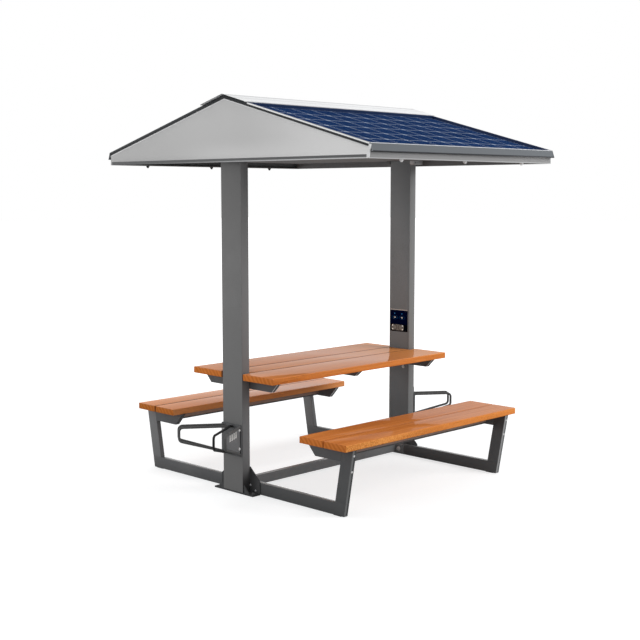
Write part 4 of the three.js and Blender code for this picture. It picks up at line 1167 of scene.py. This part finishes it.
# %% [markdown]
# The charging panel has two lit lenses, two charging ports with steel shells, and a
# steel socket plate with two round covers, in a thin dark surround with four screws.

# %% Charging panel
PANEL_X = 0.748
SURROUND_X = 0.7512
PORT_HALF_Y = 0.0073
PORT_HALF_Z = 0.0044
PORT_WALL = 0.0011

lens = turned("lens", [(20, [(0, 0), (0.0040, 0), (0.0037, 0.0008), (0.0022, 0.0017), (0, 0.0020)])])
lens_places = [((PANEL_X - 0.001, y, 0.9965), (-1, 0, 0)) for y in PORT_YS]
set_fasteners("led_lenses", lens, lens_places, glow)


def box_mesh(name, boxes):
    """A mesh of closed boxes, each (x0, x1, y0, y1, z0, z1)."""
    body = bmesh.new()
    for x0, x1, y0, y1, z0, z1 in boxes:
        sizes = Vector((x1 - x0, y1 - y0, z1 - z0))
        centre = Vector((x0 + x1, y0 + y1, z0 + z1)) / 2
        for vert in bmesh.ops.create_cube(body, size=1.0)["verts"]:
            vert.co = vert.co * sizes + centre
    return as_mesh(name, body)


x0 = PANEL_X - 0.0008
x1 = PANEL_X + 0.011
z0 = PORT_Z - PORT_HALF_Z
z1 = PORT_Z + PORT_HALF_Z
shell_boxes = []
tongue_boxes = []
for port_y in PORT_YS:
    y0 = port_y - PORT_HALF_Y
    y1 = port_y + PORT_HALF_Y
    shell_boxes += [
        (x0, x1, y0, y1, z1 - PORT_WALL, z1),
        (x0, x1, y0, y1, z0, z0 + PORT_WALL),
        (x0, x1, y0, y0 + PORT_WALL, z0 + PORT_WALL, z1 - PORT_WALL),
        (x0, x1, y1 - PORT_WALL, y1, z0 + PORT_WALL, z1 - PORT_WALL),
    ]
    tongue_boxes.append((x0 + 0.0006, x1, y0 + 0.0014, y1 - 0.0014, PORT_Z - 0.0022, PORT_Z + 0.0022))
to_object("port_shells", box_mesh("port_shells", shell_boxes), socket_metal)
to_object("port_tongues", box_mesh("port_tongues", tongue_boxes), tongue_plastic)

cover_profile = [(0, 0), (0.0175, 0), (0.0175, 0.0012), (0.0165, 0.0022), (0.0135, 0.0024),
                 (0.0125, 0.0012), (0, 0.0012)]
cover_places = [((PANEL_X - 0.003, y, ROUND_Z), (-1, 0, 0)) for y in ROUND_YS]
cover = turned("cover", [(32, cover_profile)])
set_fasteners("socket_covers", cover, cover_places, cover_metal)
surround = prism("panel_surround", rounded((0.0770, 0.0747), (-0.0005, 0.9453), 0.002), 0.0, 0.0008)
to_object("panel_surround", upright(surround, SURROUND_X), panel_face)
quarters = [(a * 0.067, b * 0.067) for a in (-1, 1) for b in (-1, 1)]
screw_places = [((PANEL_X, 0.004 + a, 0.945 + b), (-1, 0, 0)) for a, b in quarters]
set_fasteners("panel_screws", small_head, screw_places, jacket, 0.5)
print("charging panel finished")

# %% [markdown]
# The floor is plain and white, and it only has to catch the bench's soft shadow. What
# the camera sees of it is lifted by a little glow, which Light Path gives to camera
# rays alone, so that it meets the white behind it and still shows the shadow.

# %% Floor
FLOOR_REACH = 60.0

ground = bpy.data.meshes.new("floor")
floor_corners = [(a * FLOOR_REACH, b * FLOOR_REACH, 0) for a, b in ((-1, -1), (1, -1), (1, 1), (-1, 1))]
ground.from_pydata(floor_corners, [], [(0, 1, 2, 3)])
floor = linked("floor", ground)
pale = Finish("floor_pale", Roughness=0.95, Specular_IOR_Level=0.0, Emission_Strength=1.0)
pale.shader.inputs["Base Color"].default_value = (0.5, 0.5, 0.5, 1.0)
x, y, z = pale.axes()
away = (x * x + y * y).power(0.5)
seen_by_camera = pale.add("LightPath", {})["Is Camera Ray"]
lift = pale.blend(away.rising(2.2, 5.0), (0.65, 0.658, 0.664, 1.0), (1.0, 1.0, 1.0, 1.0))
pale.feed("Emission Color", pale.blend(seen_by_camera, (0.0, 0.0, 0.0, 1.0), lift))
ground.materials.append(pale.material)
print("floor:", 2 * FLOOR_REACH, "m wide")

# %% [markdown]
# The world is white like a studio's walls. The camera and glossy surfaces see it at
# full strength, but as a light it is weaker, so that the lamps still shape the bench.

# %% World
world = bpy.data.worlds.new("studio")
world.use_nodes = True
bpy.context.scene.world = world
wires = world.node_tree
background = wires.nodes["Background"]
background.inputs["Color"].default_value = (1.0, 1.0, 1.0, 1.0)
rays = add_node(wires, "ShaderNodeLightPath", {})
either = {0: rays["Is Camera Ray"], 1: rays["Is Glossy Ray"]}
seen = add_node(wires, "ShaderNodeMath", either, operation="MAXIMUM")
level = add_node(wires, "ShaderNodeMapRange", {"Value": seen[0], "To Min": 0.6, "To Max": 1.0})
wires.links.new(level[0], background.inputs["Strength"])
print("world:", world.name)

# %% [markdown]
# Light comes from large soft lamps, as in a studio: a key from the camera's left, a
# weak fill from the right, and one from above. Large lamps give soft shadows and long
# highlights on metal.


# %% Lamps
def looking(place, aim):
    """The matrix of a lamp or camera that stands at a place and looks along aim."""
    return Matrix.Translation(place) @ aim.to_track_quat("-Z", "Y").to_matrix().to_4x4()


def soft_lamp(name, place, target, size, power):
    data = bpy.data.lights.new(name, "AREA")
    data.shape = "SQUARE"
    data.size = size
    data.energy = power
    lamp = linked(name, data)
    lamp.visible_glossy = False
    lamp.matrix_world = looking(place, Vector(target) - Vector(place))


soft_lamp("key", (-6.0, 5.5, 1.6), (0, 0, 1.0), 3.0, 190)
soft_lamp("fill", (3.5, -6.5, 4.5), (0, 0, 0.8), 4.0, 330)
soft_lamp("top", (-0.5, 3.2, 8.6), (0, 0, 1.0), 4.0, 170)
print("lamps:", len(bpy.data.lights))

# %% [markdown]
# The camera stands a little above a person's eye height, turned 45 degrees to the
# ridge. Its place, direction and lens were solved from the straight edges of the bench.

# %% Camera
SENSOR_WIDTH = 36.0
FOCAL_PIXELS = 1156.3
PICTURE_PIXELS = 640

lens_data = bpy.data.cameras.new("camera")
lens_data.sensor_fit = "HORIZONTAL"
lens_data.sensor_width = SENSOR_WIDTH
lens_data.lens = SENSOR_WIDTH * FOCAL_PIXELS / PICTURE_PIXELS
camera = linked("camera", lens_data)
turn = math.radians(44.564)
dip = math.radians(6.292)
ahead = Vector((math.cos(turn) * math.cos(dip), math.sin(turn) * math.cos(dip), -math.sin(dip)))
camera.matrix_world = looking(Vector((-5.4299, -5.3029, 1.8465)), ahead)
bpy.context.scene.camera = camera
bpy.context.scene.view_settings.view_transform = "Standard"
print("camera lens:", round(lens_data.lens, 2), "mm")

# %% [markdown]
# At the end, the view layer is updated once more.

# %% Last update
bpy.context.view_layer.update()
